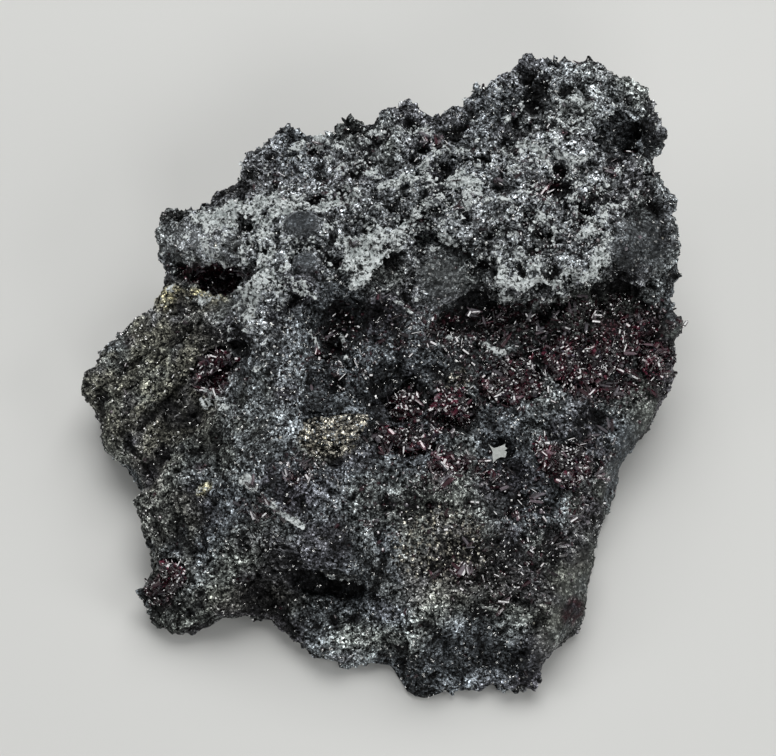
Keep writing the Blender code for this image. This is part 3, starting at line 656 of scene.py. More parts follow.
def add_node(tree, kind, inputs, **settings):
    """Adds a shader node whose inputs are numbers or the outputs of other nodes."""
    node = tree.nodes.new(kind)
    for name, value in settings.items():
        setattr(node, name, value)
    for name, value in inputs.items():
        if isinstance(value, bpy.types.NodeSocket):
            tree.links.new(value, node.inputs[name])
        else:
            node.inputs[name].default_value = value
    return node


def ranged(tree, value, low_in, high_in, low_out, high_out):
    """A value brought from one range to another."""
    names = ("From Min", "From Max", "To Min", "To Max")
    inputs = dict(zip(names, (low_in, high_in, low_out, high_out)))
    return add_node(tree, "ShaderNodeMapRange", {"Value": value, **inputs}).outputs["Result"]


def reckoned(tree, operation, first, second):
    """Two values put together."""
    return add_node(tree, "ShaderNodeMath", {0: first, 1: second}, operation=operation).outputs[0]


def ore_grain_group():
    """Fine grain shared by every stony finish. Each small cell is a grain face with its own
    brightness and its own tilt, the seams between them are dark, and a broken noise lies over
    them."""
    group = bpy.data.node_groups.new("ore_grain", "ShaderNodeTree")
    for name in ("Grain", "Tilt"):
        group.interface.new_socket(name=name, in_out="INPUT", socket_type="NodeSocketFloat")
    for name in ("Shade", "Spread", "Broken", "Glint", "Height", "Pores", "Lace"):
        group.interface.new_socket(name=name, in_out="OUTPUT", socket_type="NodeSocketFloat")
    group.interface.new_socket(name="Normal", in_out="OUTPUT", socket_type="NodeSocketVector")
    inside = add_node(group, "NodeGroupInput", {})
    place = add_node(group, "ShaderNodeTexCoord", {}).outputs["Object"]
    grain = inside.outputs["Grain"]
    faces = add_node(group, "ShaderNodeTexVoronoi", {"Vector": place, "Scale": grain})
    seams = add_node(
        group, "ShaderNodeTexVoronoi", {"Vector": place, "Scale": grain}, feature="DISTANCE_TO_EDGE"
    )
    broken = add_node(
        group, "ShaderNodeTexNoise",
        {"Vector": place, "Scale": 1 / (1.3 * MM), "Detail": 5.0, "Roughness": 0.72},
    ).outputs[0]
    parts = add_node(group, "ShaderNodeSeparateColor", {"Color": faces.outputs["Color"]})
    bright = reckoned(group, "POWER", parts.outputs["Red"], 2.4)
    shade = ranged(group, bright, 0.0, 1.0, 0.34, 2.75)
    seam = ranged(group, seams.outputs["Distance"], 0.02, 0.16, 0.25, 1.0)
    shade = reckoned(group, "MULTIPLY", shade, seam)
    shade = reckoned(group, "MULTIPLY", shade, ranged(group, broken, 0.38, 0.6, 0.06, 1.85))
    pores = add_node(
        group, "ShaderNodeTexNoise",
        {"Vector": place, "Scale": 1 / (0.5 * MM), "Detail": 2.0, "Roughness": 0.6},
    ).outputs[0]
    pores = ranged(group, pores, 0.405, 0.485, 0.0, 1.0)
    shade = reckoned(group, "MULTIPLY", shade, ranged(group, pores, 0.0, 1.0, 0.01, 1.25))
    wander = add_node(group, "ShaderNodeTexNoise", {"Vector": place, "Scale": 1 / (0.9 * MM), "Detail": 1.0})
    wander = add_node(
        group, "ShaderNodeVectorMath",
        {0: wander.outputs["Color"], 1: (1.3 * MM, 1.3 * MM, 1.3 * MM), 2: place}, operation="MULTIPLY_ADD",
    )
    lace = add_node(
        group, "ShaderNodeTexVoronoi", {"Vector": wander.outputs[0], "Scale": 1 / (1.25 * MM)},
        feature="DISTANCE_TO_EDGE",
    )
    height = reckoned(group, "SUBTRACT", broken, reckoned(group, "MULTIPLY", faces.outputs["Distance"], 0.25))
    centred = add_node(
        group, "ShaderNodeVectorMath", {0: faces.outputs["Color"], 1: (0.5, 0.5, 0.5)}, operation="SUBTRACT"
    )
    tilted = add_node(
        group, "ShaderNodeVectorMath",
        {0: centred.outputs[0], "Scale": inside.outputs["Tilt"]}, operation="SCALE",
    )
    surface = add_node(group, "ShaderNodeNewGeometry", {}).outputs["Normal"]
    leaned = add_node(group, "ShaderNodeVectorMath", {0: surface, 1: tilted.outputs[0]}, operation="ADD")
    normal = add_node(group, "ShaderNodeVectorMath", {0: leaned.outputs[0]}, operation="NORMALIZE")
    add_node(group, "NodeGroupOutput", {
        "Shade": shade, "Spread": parts.outputs["Green"], "Broken": broken,
        "Glint": ranged(group, parts.outputs["Blue"], 0.976, 0.982, 0.0, 1.0),
        "Height": height, "Normal": normal.outputs[0], "Pores": pores,
        "Lace": ranged(group, lace.outputs["Distance"], 0.03, 0.3, 1.0, 0.0),
    })
    return group


ore_grain = ore_grain_group()
FROST_WHITE = (0.7, 0.74, 0.735, 1.0)


def mixed(tree, kind, share, first, second):
    """A colour or a value between two others."""
    node = add_node(tree, "ShaderNodeMix", {}, data_type=kind)
    wanted = {"FLOAT": (0, 2, 3), "RGBA": (0, 6, 7)}[kind]
    for place, value in zip(wanted, (share, first, second)):
        if isinstance(value, bpy.types.NodeSocket):
            tree.links.new(value, node.inputs[place])
        else:
            node.inputs[place].default_value = value
    return node.outputs[{"FLOAT": 0, "RGBA": 2}[kind]]


def stony_material(name, grain, tilt, depth, roughness=(0.35, 0.8), metallic=0.0, glint=(0.7, 0.7, 0.68)):
    """A stony finish. Its colour and the strength of its frost are kept on the piece, its grain
    has the given size and depth in mm, and some of its grain faces are small mirrors. Where a
    piece keeps a calm of its own the grain shows less."""
    material = bpy.data.materials.new(name)
    material.use_nodes = True
    tree = material.node_tree
    shader = tree.nodes["Principled BSDF"]
    shader.inputs["IOR"].default_value = 1.25
    tint = add_node(tree, "ShaderNodeAttribute", {}, attribute_name="tint").outputs["Color"]
    frost = add_node(tree, "ShaderNodeAttribute", {}, attribute_name="frost").outputs["Fac"]
    grains = add_node(tree, "ShaderNodeGroup", {}, node_tree=ore_grain)
    grains.inputs["Grain"].default_value = 1 / (grain * MM)
    grains.inputs["Tilt"].default_value = tilt
    shade, spread, broken, glints, height, pores, lace, normal = grains.outputs
    calm = add_node(tree, "ShaderNodeAttribute", {}, attribute_name="calm").outputs["Fac"]
    shade = mixed(tree, "FLOAT", calm, shade, 0.6)
    glints = reckoned(tree, "MULTIPLY", glints, ranged(tree, calm, 0.0, 0.6, 1.0, 0.0))
    crust = reckoned(tree, "ADD", frost, ranged(tree, broken, 0.2, 0.8, -0.4, 0.4))
    crust = reckoned(tree, "ADD", crust, ranged(tree, lace, 0.0, 1.0, -0.13, 0.2))
    crust = ranged(tree, crust, 0.485, 0.565, 0.0, 1.0)
    stone = add_node(tree, "ShaderNodeVectorMath", {0: tint, "Scale": shade}, operation="SCALE").outputs[0]
    stone = mixed(tree, "RGBA", glints, stone, (*glint, 1.0))
    white = add_node(
        tree, "ShaderNodeVectorMath",
        {0: FROST_WHITE[:3], "Scale": reckoned(
            tree, "MULTIPLY", ranged(tree, shade, 0.0, 0.55, 0.68, 1.06), ranged(tree, pores, 0.0, 0.8, 0.2, 1.0),
        )}, operation="SCALE",
    ).outputs[0]
    rough = mixed(tree, "FLOAT", glints, ranged(tree, spread, 0.0, 1.0, *roughness), 0.16)
    mirror = reckoned(tree, "MAXIMUM", glints, metallic)
    raised = reckoned(tree, "ADD", height, reckoned(tree, "MULTIPLY", crust, 0.35))
    bump = add_node(
        tree, "ShaderNodeBump",
        {"Strength": 1.0, "Distance": depth * MM, "Height": raised, "Normal": normal},
    )
    tree.links.new(mixed(tree, "RGBA", crust, stone, white), shader.inputs["Base Color"])
    tree.links.new(mixed(tree, "FLOAT", crust, mirror, 0.0), shader.inputs["Metallic"])
    tree.links.new(mixed(tree, "FLOAT", crust, rough, 0.9), shader.inputs["Roughness"])
    tree.links.new(bump.outputs["Normal"], shader.inputs["Normal"])
    return material


rock_finish = stony_material("ore_rock_finish", 0.26, 0.5, 0.35)
rock = add_part(rock_mesh, "ore_rock", rock_finish, "matrix")

# The crumbs. Loose angular crumbs of ore and quartz, a quarter to one millimetre across, that
# broke with the rock and still sit on it, thickest in the frosted country behind.
CRUMB_PIECES, PIECE_CRUMBS = 2, 6000
rng = np.random.default_rng(7)


def unit_crystal(sides, slimness, top):
    """A crystal one unit long that stands on its foot: a pyramid, or with a top a prism with a
    low point. Gives its corners and its triangles."""
    shape = bmesh.new()
    made = bmesh.ops.create_cone(
        shape, cap_ends=True, segments=sides, radius1=slimness, radius2=top, depth=1.0,
    )
    bmesh.ops.translate(shape, verts=made["verts"], vec=(0, 0, 0.5))
    if top > 0:
        cap = max(shape.faces, key=lambda face: face.calc_center_median().z)
        bmesh.ops.poke(shape, faces=[cap], offset=slimness * 0.6)
    bmesh.ops.triangulate(shape, faces=shape.faces)
    corners = np.array([vert.co for vert in shape.verts])
    triangles = np.array([[vert.index for vert in face.verts] for face in shape.faces])
    shape.free()
    return corners, triangles


def joined_crystals(name, unit, places, frames):
    """One mesh of many copies of a unit crystal, each with its own place and frame, in mm."""
    corners, triangles = unit
    points = np.einsum("nij,kj->nki", frames, corners) + places[:, None]
    points = np.clip(points.reshape(-1, 3), low, high)
    faces = triangles[None] + np.arange(len(places))[:, None, None] * len(corners)
    faces = faces.reshape(-1, 3)
    mesh = bpy.data.meshes.new(name)
    mesh.vertices.add(len(points))
    mesh.vertices.foreach_set("co", (points * MM).astype(np.float32).ravel())
    mesh.loops.add(faces.size)
    mesh.loops.foreach_set("vertex_index", faces.astype(np.int32).ravel())
    mesh.polygons.add(len(faces))
    mesh.polygons.foreach_set("loop_start", np.arange(0, faces.size, 3, dtype=np.int32))
    mesh.update(calc_edges=True)
    mesh.shade_flat()
    return mesh


class Ground:
    """A surface to strew crystals over: its triangles, their areas and normals."""

    def __init__(self, mesh):
        mesh.calc_loop_triangles()
        corners = mesh_values(mesh, "vertices", "co", 3) / MM
        normals = mesh_values(mesh, "vertices", "normal", 3)
        index = np.empty(len(mesh.loop_triangles) * 3, np.int32)
        mesh.loop_triangles.foreach_get("vertices", index)
        self.index = index.reshape(-1, 3)
        self.corners = corners[self.index]
        self.normals = normals[self.index]
        a, b, c = self.corners.transpose(1, 0, 2)
        self.area = np.linalg.norm(np.cross(b - a, c - a), axis=1) / 2
        self.middle = self.corners.mean(axis=1)
        self.facing = self.normals.mean(axis=1)

    def strew(self, count, density):
        """Random places, their normals and their triangles, by density per area."""
        chance = self.area * density
        chosen = rng.choice(len(chance), count, p=chance / chance.sum())
        share = rng.random((count, 2))
        over = share.sum(axis=1) > 1
        share[over] = 1 - share[over]
        weight = np.column_stack([1 - share.sum(axis=1), share])[:, :, None]
        places = (self.corners[chosen] * weight).sum(axis=1)
        normals = (self.normals[chosen] * weight).sum(axis=1)
        normals /= np.linalg.norm(normals, axis=1, keepdims=True)
        return places, normals, chosen


def leaning_frames(normals, lean, width, length):
    """Frames that stand on the surface, tipped by up to the lean in radians and turned at
    random, with each crystal's width, breadth and length along their axes."""
    count = len(normals)
    tip = normals + np.tan(lean)[:, None] * rng.normal(size=(count, 3)) * 0.6
    tip /= np.linalg.norm(tip, axis=1, keepdims=True)
    side = np.cross(tip, rng.normal(size=(count, 3)))
    side /= np.linalg.norm(side, axis=1, keepdims=True)
    other = np.cross(tip, side)
    return np.stack([side * width[:, :1], other * width[:, 1:], tip * length[:, None]], axis=2)


def tumbled_frames(count, size):
    """Frames turned any way, with three different sizes along their axes."""
    tip = rng.normal(size=(count, 3))
    tip /= np.linalg.norm(tip, axis=1, keepdims=True)
    side = np.cross(tip, rng.normal(size=(count, 3)))
    side /= np.linalg.norm(side, axis=1, keepdims=True)
    half = size[:, None] * rng.uniform(0.35, 0.75, (count, 3))
    return np.stack([side * half[:, :1], np.cross(tip, side) * half[:, 1:2], tip * half[:, 2:]], axis=2)


def unit_crumb():
    """A crumb of eight faces, half a unit from its middle to its corners."""
    shape = bmesh.new()
    bmesh.ops.create_icosphere(shape, subdivisions=1, radius=1.0)
    keep = [vert for vert in shape.verts if vert.index % 2 == 0]
    corners = np.array([vert.co for vert in keep])
    shape.free()
    shape = bmesh.new()
    for corner in corners:
        shape.verts.new(corner)
    bmesh.ops.convex_hull(shape, input=shape.verts)
    bmesh.ops.triangulate(shape, faces=shape.faces)
    bmesh.ops.recalc_face_normals(shape, faces=shape.faces)
    shape.verts.index_update()
    corners = np.array([vert.co for vert in shape.verts])
    triangles = np.array([[vert.index for vert in face.verts] for face in shape.faces])
    shape.free()
    return corners, triangles


ground = Ground(rock_mesh)
ground_zone = rock_zones(ground.middle, ground.facing)
ground_relief, ground_pit_shade = relief_of(ground.middle, ground_zone)
# The crumbs take the rock's colour with its painted light, and a weaker painted shade.
ground_tint = tint_of(ground.middle, ground_zone, ground_relief, 0.6 * ground_pit_shade)
above_table = smooth_step(0.3, 1.2, ground.middle[:, 2])
crumb_density = above_table * (1 - 0.5 * ground_pit_shade) * (1 - 0.7 * ground_zone["flank"])
crumb_density *= (0.08 + 0.9 * ground_zone["crumbly"]) * (1 - 0.8 * ground_zone["dome"])
crumb_density *= 1 - 0.9 * ground_zone["ochre"]
crumb_density *= 0.12 + ground_zone["frost"]
crumb_density *= smooth_step(0.35, 0.62, rough_noise(ground.middle, 2.0, 110, 2)) + 0.1
crumb_finish = stony_material("ore_crumb_finish", 0.4, 0.35, 0.2)
crumb = unit_crumb()
for number in range(CRUMB_PIECES):
    places, normals, chosen = ground.strew(PIECE_CRUMBS, crumb_density)
    size = 0.22 + 0.6 * rng.random(PIECE_CRUMBS) ** 2.5
    frames = tumbled_frames(PIECE_CRUMBS, size)
    crumbs = joined_crystals("crumbs", crumb, places + normals * (0.1 * size)[:, None], frames)
    shade = 0.4 + 1.2 * rng.random(PIECE_CRUMBS) ** 2
    tint = np.clip(ground_tint[chosen] * shade[:, None], 0, 0.9)
    frosting = ground_zone["frost"][chosen] + rng.uniform(-0.35, 0.4, PIECE_CRUMBS)
    add_colours(crumbs, "tint", np.repeat(tint, len(crumb[0]), axis=0))
    add_strength(crumbs, "frost", np.repeat(frosting, len(crumb[0])))
    add_part(crumbs, f"ore_crumbs_{number + 1}", crumb_finish)

# The proustite. Small dark red prisms, one to two millimetres long, that lie at all angles on
# low crusts of the same mineral in the hollows. They are nearly black with red light inside,
# and their long faces mirror the window as thin white dashes.
CRUST_GRID = 0.3
CRUST_SMOOTHING = 14
PRISM_LENGTH = (0.6, 1.9)
PRISM_WIDTH = (0.28, 0.95)
PRISMS_PER_SQUARE_MM = 5.0
RUBY = np.array([0.045, 0.005, 0.0125])
FLASHING = (0.03, 0.0, 1.0)
# Painted sheen: a pale lilac-grey added to the colour of some prisms in place of a silvery lustre.
PAINTED_SHEEN_GREY = np.array([0.95, 0.9, 1.0])


def prism_field(normals, largest=1.0, lying=0.3):
    """Frames of prisms that lie over one another at all angles. The given share of them lies
    flat with one face up."""
    count = len(normals)
    length = rng.uniform(*PRISM_LENGTH, count) * rng.uniform(0.6, 1.0, count) * largest
    slim = rng.random((count, 1)) ** 1.8
    width = (PRISM_WIDTH[0] + slim * (PRISM_WIDTH[1] - PRISM_WIDTH[0])) * largest
    width = width * rng.uniform(0.7, 1.0, (count, 2))
    frames = leaning_frames(normals, rng.uniform(0.3, 1.1, count), width, 0.5 * length)
    flat = rng.random(count) < lying
    tip = normals + rng.normal(size=(count, 3)) * 2.5
    tip[:, 2] = rng.uniform(-0.05, 0.25, count) * np.linalg.norm(tip[:, :2], axis=1)
    tip /= np.linalg.norm(tip, axis=1, keepdims=True)
    up = np.array(FLASHING) + rng.normal(size=(count, 3)) * 0.36
    face = up - tip * (up * tip).sum(axis=1, keepdims=True)
    face /= np.linalg.norm(face, axis=1, keepdims=True)
    side = np.cross(face, tip)
    lain = np.stack([side * width[:, :1], face * width[:, 1:], tip * length[:, None]], axis=2)
    frames[flat] = lain[flat]
    return frames


def joined_meshes(meshes, name):
    """Joins meshes that carry the same colour layer into one."""
    shape = bmesh.new()
    for mesh in meshes:
        shape.from_mesh(mesh)
    joined = bpy.data.meshes.new(name)
    shape.to_mesh(joined)
    shape.free()
    return joined


def ruby_material():
    """Adamantine dark red: bright at the faces, deep red within."""
    material = bpy.data.materials.new("proustite_finish")
    material.use_nodes = True
    tree = material.node_tree
    shader = tree.nodes["Principled BSDF"]
    shader.inputs["IOR"].default_value = 2.4
    tint = add_node(tree, "ShaderNodeAttribute", {}, attribute_name="tint")
    grains = add_node(tree, "ShaderNodeGroup", {}, node_tree=ore_grain)
    grains.inputs["Grain"].default_value = 1 / (0.5 * MM)
    grains.inputs["Tilt"].default_value = 0.06
    rough = ranged(tree, grains.outputs["Spread"], 0.0, 1.0, 0.07, 0.22)
    tree.links.new(tint.outputs["Color"], shader.inputs["Base Color"])
    tree.links.new(rough, shader.inputs["Roughness"])
    tree.links.new(grains.outputs["Normal"], shader.inputs["Normal"])
    return material


def red_prisms(name, spots, frames, redness, sheen_from=0.9):
    """Prisms of proustite, some nearly black, some lit red from within and some with a painted silvery sheen."""
    prisms = joined_crystals(name, hexagonal_prism, spots, frames)
    glow = rng.random(len(spots)) ** 3
    # Painted sheen: a pale lilac-grey added to the colour of a share of the prisms.
    painted_sheen = (rng.random(len(spots)) > sheen_from) * rng.uniform(0.02, 0.16, len(spots))
    reds = RUBY * (0.1 + 2.6 * glow * redness)[:, None] + 0.003
    reds = reds + painted_sheen[:, None] * PAINTED_SHEEN_GREY
    add_colours(prisms, "tint", np.repeat(reds, len(hexagonal_prism[0]), axis=0))
    return prisms


proustite_finish = ruby_material()
crust_finish = stony_material("proustite_crust_finish", 0.3, 0.4, 0.2, (0.3, 0.7), 0.0, (0.3, 0.1, 0.14))
hexagonal_prism = unit_crystal(6, 0.5, 0.42)
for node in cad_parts:
    if not node.startswith("proustite"):
        continue
    crust = even_copy(node, CRUST_GRID, CRUST_SMOOTHING)
    crust_points = mesh_values(crust, "vertices", "co", 3) / MM
    crust_normals = mesh_values(crust, "vertices", "normal", 3)
    crust_relief, crust_gaps = chunk_relief(crust_points, 0.9, 91)
    crust_relief = 0.5 * crust_relief - 0.3 * crust_gaps + 0.1
    crust_glow = 0.2 + 0.9 * rough_noise(crust_points, 1.2, 90)
    crust_tint = RUBY * crust_glow[:, None] + 0.008
    bare = smooth_step(0.45, 0.58, rough_noise(crust_points, 2.0, 94))[:, None]
    crust_tint = crust_tint + (0.5 * np.array(PLUM_BLACK) - crust_tint) * bare
    add_colours(crust, "tint", crust_tint)
    crust_points += crust_normals * crust_relief[:, None]
    crust.vertices.foreach_set("co", (crust_points * MM).astype(np.float32).ravel())
    clipped(crust)
    bed = Ground(crust)
    upward = smooth_step(-0.1, 0.4, bed.facing[:, 2])
    count = int((bed.area * upward).sum() * PRISMS_PER_SQUARE_MM)
    spots, normals, _ = bed.strew(count, upward)
    frames = prism_field(normals, 1.0, 0.22)
    redness = 1.2 * smooth_step(0.38, 0.62, rough_noise(spots, 1.8, 96))
    prisms = red_prisms(node, spots - frames[:, :, 2] * 0.2, frames, redness)
    crust.shade_flat()
    add_part(crust, node + "_crust", crust_finish, node)
    add_part(prisms, node + "_crystals", proustite_finish, node)

# The strewn prisms. The same crystals also lie singly all over the middle of the slab, thickest
# below the ledge and along the right edge.
STREWN_PATCHES = [
    (585, 348, 70, 38, -8, 1.0), (635, 330, 44, 30, 0, 1.0), (510, 378, 42, 32, 0, 1.0),
    (600, 386, 48, 18, 0, 1.0), (450, 408, 26, 24, 30, 0.9), (405, 440, 36, 16, 0, 1.0),
    (440, 480, 28, 22, 0, 0.6), (490, 476, 22, 16, 0, 0.5), (575, 462, 32, 22, 0, 0.8),
    (600, 480, 30, 30, 0, 0.4), (490, 335, 90, 24, 0, 0.8), (430, 330, 60, 26, 0, 0.5),
    (300, 470, 24, 20, 0, 0.6), (264, 505, 24, 16, 0, 0.5), (500, 570, 60, 40, 0, 0.28),
    (540, 520, 50, 40, 0, 0.25), (400, 500, 80, 50, 0, 0.12), (212, 274, 34, 12, 0, 0.9),
    (212, 374, 22, 24, 25, 0.7), (660, 365, 16, 36, 0, 1.0), (340, 350, 40, 40, 0, 0.35),
    (435, 142, 14, 7, 0, 1.0), (555, 314, 90, 16, -8, 1.0), (460, 570, 22, 8, 0, 0.6), (500, 598, 12, 12, 0, 0.9),
    (160, 592, 16, 18, 0, 0.6), (560, 200, 80, 60, 0, 0.1), (400, 406, 12, 16, 0, 1.0),
    (545, 190, 16, 12, 0, 0.5), (320, 180, 60, 30, 0, 0.08),
]
STREWN_PRISMS = 4800
strewn_share = patches(seen_at(ground.middle), ground_zone["facing"], STREWN_PATCHES)
level_ground = smooth_step(0.15, 0.5, ground.facing[:, 2])
strewn_share = above_table * level_ground * (0.01 + strewn_share)
spots, normals, chosen = ground.strew(STREWN_PRISMS, strewn_share)
frames = prism_field(normals, 0.8, 0.2)
redness = 0.25 + 0.75 * ground_zone["red"][chosen]
strewn = red_prisms("strewn", spots - frames[:, :, 2] * 0.1, frames, redness)
add_part(strewn, "proustite_strewn_prisms", proustite_finish)

# The fans. Larger bright prisms that stand in small sprays, one and a half to three millimetres
# long, each spray grown from one point in the rock: its column and row in the picture, how many
# prisms, the length of the longest in mm, and which way it points and opens, in degrees.
FANS = [
    (386, 452, 7, 2.0, 110, 45), (402, 450, 6, 2.1, 85, 50), (414, 448, 6, 1.8, 60, 50),
    (396, 440, 5, 1.5, 140, 60), (438, 455, 5, 1.7, 80, 40), (452, 438, 4, 1.5, 80, 30),
    (442, 486, 6, 1.9, 75, 40), (458, 470, 5, 1.7, 100, 50), (434, 470, 4, 1.8, 130, 25),
    (492, 482, 5, 1.6, 60, 60), (478, 462, 4, 1.6, 20, 50), (502, 492, 5, 1.5, 40, 60),
    (574, 472, 8, 2.1, 60, 70), (586, 464, 8, 2.0, 100, 60), (596, 476, 6, 1.7, 30, 50),
    (562, 456, 5, 1.8, 20, 40), (556, 478, 4, 1.6, 50, 50), (664, 350, 9, 1.9, 130, 60),
    (666, 364, 8, 1.7, 150, 60), (658, 378, 8, 1.9, 140, 50), (652, 392, 6, 1.9, 120, 40),
    (648, 348, 6, 1.8, 90, 60), (600, 384, 8, 2.0, 60, 80), (614, 392, 7, 1.8, 20, 80),
    (588, 396, 7, 1.8, 110, 80), (572, 382, 6, 1.7, 80, 80), (606, 368, 6, 1.8, 90, 80),
    (546, 372, 6, 1.7, 75, 50), (560, 350, 6, 1.6, 60, 80), (622, 352, 6, 1.6, 80, 80),
    (500, 346, 5, 2.3, 60, 25), (528, 366, 5, 1.6, 100, 60), (512, 386, 6, 1.6, 60, 80),
    (436, 144, 7, 1.8, 90, 80), (428, 140, 5, 1.4, 140, 60), (458, 572, 7, 1.9, 100, 50),
    (470, 572, 6, 1.6, 60, 50), (500, 600, 5, 1.9, 30, 40), (432, 575, 5, 1.4, 90, 60),
    (268, 502, 6, 1.5, 120, 60), (258, 520, 5, 1.4, 60, 60), (300, 466, 6, 1.6, 75, 70),
    (288, 478, 5, 1.4, 120, 60), (252, 486, 4, 1.4, 80, 60), (404, 412, 6, 1.5, 90, 80),
    (530, 500, 5, 1.6, 20, 40), (516, 520, 4, 1.4, 60, 60), (556, 545, 4, 1.6, 30, 30),
    (470, 545, 4, 1.4, 60, 60), (608, 430, 5, 1.7, 90, 60), (588, 440, 5, 1.6, 60, 60),
    (200, 364, 4, 1.4, 60, 60), (214, 388, 4, 1.3, 100, 60), (218, 284, 6, 1.6, 90, 70),
    (194, 270, 4, 1.3, 60, 60), (156, 592, 5, 1.6, 60, 70), (568, 520, 4, 1.5, 20, 50),
    (326, 336, 5, 1.5, 60, 50), (314, 352, 4, 1.4, 90, 60), (640, 320, 5, 1.5, 60, 70),
    (545, 192, 5, 1.5, 60, 60), (612, 172, 4, 1.3, 120, 60), (496, 182, 5, 1.4, 90, 70),
    (458, 208, 4, 1.3, 30, 60), (352, 246, 4, 1.3, 60, 60), (380, 300, 4, 1.3, 60, 60),
    (470, 312, 6, 1.5, 60, 80), (500, 322, 6, 1.6, 40, 80), (530, 318, 5, 1.5, 60, 80),
    (552, 320, 6, 1.5, 50, 80), (572, 312, 6, 1.5, 90, 80), (486, 326, 5, 1.4, 70, 80),
    (592, 318, 6, 1.5, 60, 80), (540, 332, 5, 1.4, 60, 80), (566, 330, 5, 1.4, 80, 80),
]
FAN_WIDTH = (0.4, 0.85)
FAN_SEAT = 1.0


def nearest_seen(column, row):
    """The triangle of the rock that the camera sees nearest to a place in the picture."""
    away = np.hypot(ground_seen[0] - column, ground_seen[1] - row)
    return np.argmin(away + 40 * (ground_zone["facing"] < 0.4))


def seat_near(foot):
    """The middle of the rock's surface around one of its triangles, and its way out."""
    near = np.linalg.norm(ground.middle - ground.middle[foot], axis=1) < FAN_SEAT
    out = ground.facing[near].mean(axis=0)
    return ground.middle[near].mean(axis=0), out / np.linalg.norm(out)


ground_seen = seen_at(ground.middle)
fan_spots, fan_frames = [], []
for column, row, count, longest, heading, opening in FANS:
    seat, out = seat_near(nearest_seen(column, row))
    turn = np.radians(heading + rng.uniform(-opening, opening, count))
    rise = rng.uniform(0.0, 0.2, count)
    along = np.column_stack([np.cos(turn), np.sin(turn), np.zeros(count)])
    slope = along - (along @ out)[:, None] * out
    tip = 0.7 * along + 0.3 * slope + rise[:, None] * out
    tip /= np.linalg.norm(tip, axis=1, keepdims=True)
    up = np.array(FLASHING) + rng.normal(size=(count, 3)) * 0.14
    face = up - tip * (up * tip).sum(axis=1, keepdims=True)
    face /= np.linalg.norm(face, axis=1, keepdims=True)
    width = rng.uniform(*FAN_WIDTH, (count, 1)) * rng.uniform(0.7, 1.0, (count, 2)) * longest / 2
    length = longest * rng.uniform(0.55, 1.0, (count, 1))
    spray = np.stack([np.cross(face, tip) * width[:, :1], face * width[:, 1:], tip * length], axis=2)
    fan_frames.append(spray)
    aside = rng.uniform(-0.5, 0.5, (count, 3))
    aside -= (aside @ out)[:, None] * out
    feet = seat + aside + rng.uniform(0.25, 0.65, (count, 1)) * out
    fan_spots.append(feet - tip * 0.15 * length)
fan_spots, fan_frames = np.concatenate(fan_spots), np.concatenate(fan_frames)
# More of the fans' prisms carry the painted silvery sheen.
fans = red_prisms("fans", fan_spots, fan_frames, rng.uniform(0.1, 0.8, len(fan_spots)), 0.45)
add_part(fans, "proustite_bright_fans", proustite_finish)

# The pyrite. A thin brassy druse of cubes well under a millimetre across.
PYRITE_CUBES = 1200
STREWN_CUBES = 1500
BRASSY = np.array([0.66, 0.63, 0.54])
druse = even_copy("pyrite_druse", CRUST_GRID, CRUST_SMOOTHING)
druse_points = mesh_values(druse, "vertices", "co", 3) / MM
druse_normals = mesh_values(druse, "vertices", "normal", 3)
druse_relief, druse_gaps = chunk_relief(druse_points, 0.9, 93)
druse_tint = np.array(ORE_GREY) * (0.5 + 1.6 * rough_noise(druse_points, 0.8, 95))[:, None]
add_colours(druse, "tint", druse_tint)
druse_points += druse_normals * (0.45 * druse_relief - 0.25 * druse_gaps)[:, None]
druse.vertices.foreach_set("co", (druse_points * MM).astype(np.float32).ravel())
clipped(druse)
bed = Ground(druse)
cube_unit = unit_crystal(4, 0.707, 0.707)


def brassy_cubes(spots, normals):
    """One mesh of small cubes set in the surface at these places."""
    count = len(spots)
    side = rng.uniform(0.12, 0.36, count)
    frames = leaning_frames(normals, np.full(count, 1.0), side[:, None] * np.ones((1, 2)), side)
    cubes = joined_crystals("cubes", cube_unit, spots - normals * 0.1, frames)
    tint = BRASSY * rng.uniform(0.15, 1.0, count)[:, None] ** 1.2
    add_colours(cubes, "tint", np.repeat(tint, len(cube_unit[0]), axis=0))
    return cubes


spots, normals, _ = bed.strew(PYRITE_CUBES, smooth_step(-0.1, 0.4, bed.facing[:, 2]))
pyrite = joined_meshes([druse, brassy_cubes(spots, normals)], "pyrite")
pyrite.shade_flat()
pyrite_finish = stony_material("pyrite_finish", 0.4, 0.3, 0.1, (0.25, 0.55), 0.3, (0.85, 0.82, 0.7))
add_part(pyrite, "pyrite_cubes", pyrite_finish, "pyrite_druse")
spots, normals, _ = ground.strew(STREWN_CUBES, above_table * ground_zone["brass"] ** 2 + 1e-4)
add_part(brassy_cubes(spots, normals), "pyrite_strewn_cubes", pyrite_finish)

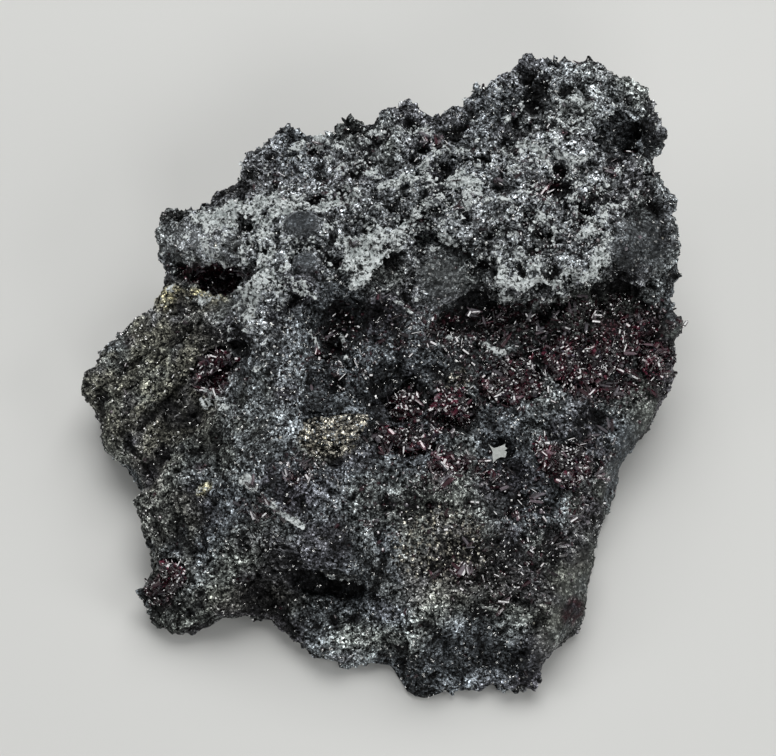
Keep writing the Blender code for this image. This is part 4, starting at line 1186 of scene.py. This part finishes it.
# The calcite. One thin white ragged flake caught edgeways in the rock.
FLAKE_TEETH = [
    (1.05, 0.0), (0.72, 0.2), (1.16, 0.42), (0.86, 0.6), (0.92, 0.96), (0.4, 0.79),
    (-0.33, 0.56), (-0.68, 0.52), (-1.42, 0.96), (-0.92, 0.4), (-0.82, 0.1), (-0.95, -0.4),
    (-0.79, -1.16), (-0.33, -0.76), (0.33, -0.5), (0.86, -0.58),
]
FLAKE_THICKNESS = 0.3
flake_shape = bmesh.new()
rim = bmesh.ops.create_circle(flake_shape, segments=len(FLAKE_TEETH), radius=1.0, cap_ends=True)["verts"]
for tooth, vert in zip(FLAKE_TEETH, rim):
    vert.co = (*tooth, 0)
bmesh.ops.triangulate(flake_shape, faces=flake_shape.faces)
bmesh.ops.subdivide_edges(flake_shape, edges=flake_shape.edges, cuts=3, use_grid_fill=True)
plate = flake_shape.faces[:]
raised = bmesh.ops.extrude_face_region(flake_shape, geom=plate)["geom"]
raised = [part for part in raised if isinstance(part, bmesh.types.BMVert)]
bmesh.ops.translate(flake_shape, verts=raised, vec=(0, 0, 1))
bmesh.ops.recalc_face_normals(flake_shape, faces=flake_shape.faces)
flake = bpy.data.meshes.new("flake")
flake_shape.to_mesh(flake)
flake_shape.free()
flake_low, flake_high = (np.array(corner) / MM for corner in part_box("calcite_flake"))
flake_points = mesh_values(flake, "vertices", "co", 3)
flake_points[:, 2] = (flake_points[:, 2] - 0.5) * FLAKE_THICKNESS
flake_points[:, :2] *= [1.05, 1.3]
flake_points += 0.35 * (rough_noise(flake_points + 50, 0.7, 98) - 0.5)[:, None]
tilt = math.radians(28)
flake_points = flake_points @ np.array([
    [1, 0, 0], [0, math.cos(tilt), math.sin(tilt)], [0, -math.sin(tilt), math.cos(tilt)],
])
flake_points += (flake_low + flake_high) / 2 + [-0.5, -0.3, 0.75]
flake.vertices.foreach_set("co", (flake_points * MM).astype(np.float32).ravel())
flake.update()
flake.shade_flat()
flake_finish = bpy.data.materials.new("calcite_finish")
flake_finish.use_nodes = True
flake_shader = flake_finish.node_tree.nodes["Principled BSDF"]
flake_shader.inputs["Base Color"].default_value = (0.44, 0.46, 0.44, 1.0)
flake_shader.inputs["Roughness"].default_value = 0.5
add_part(flake, "calcite_flake_ragged", flake_finish, "calcite_flake")
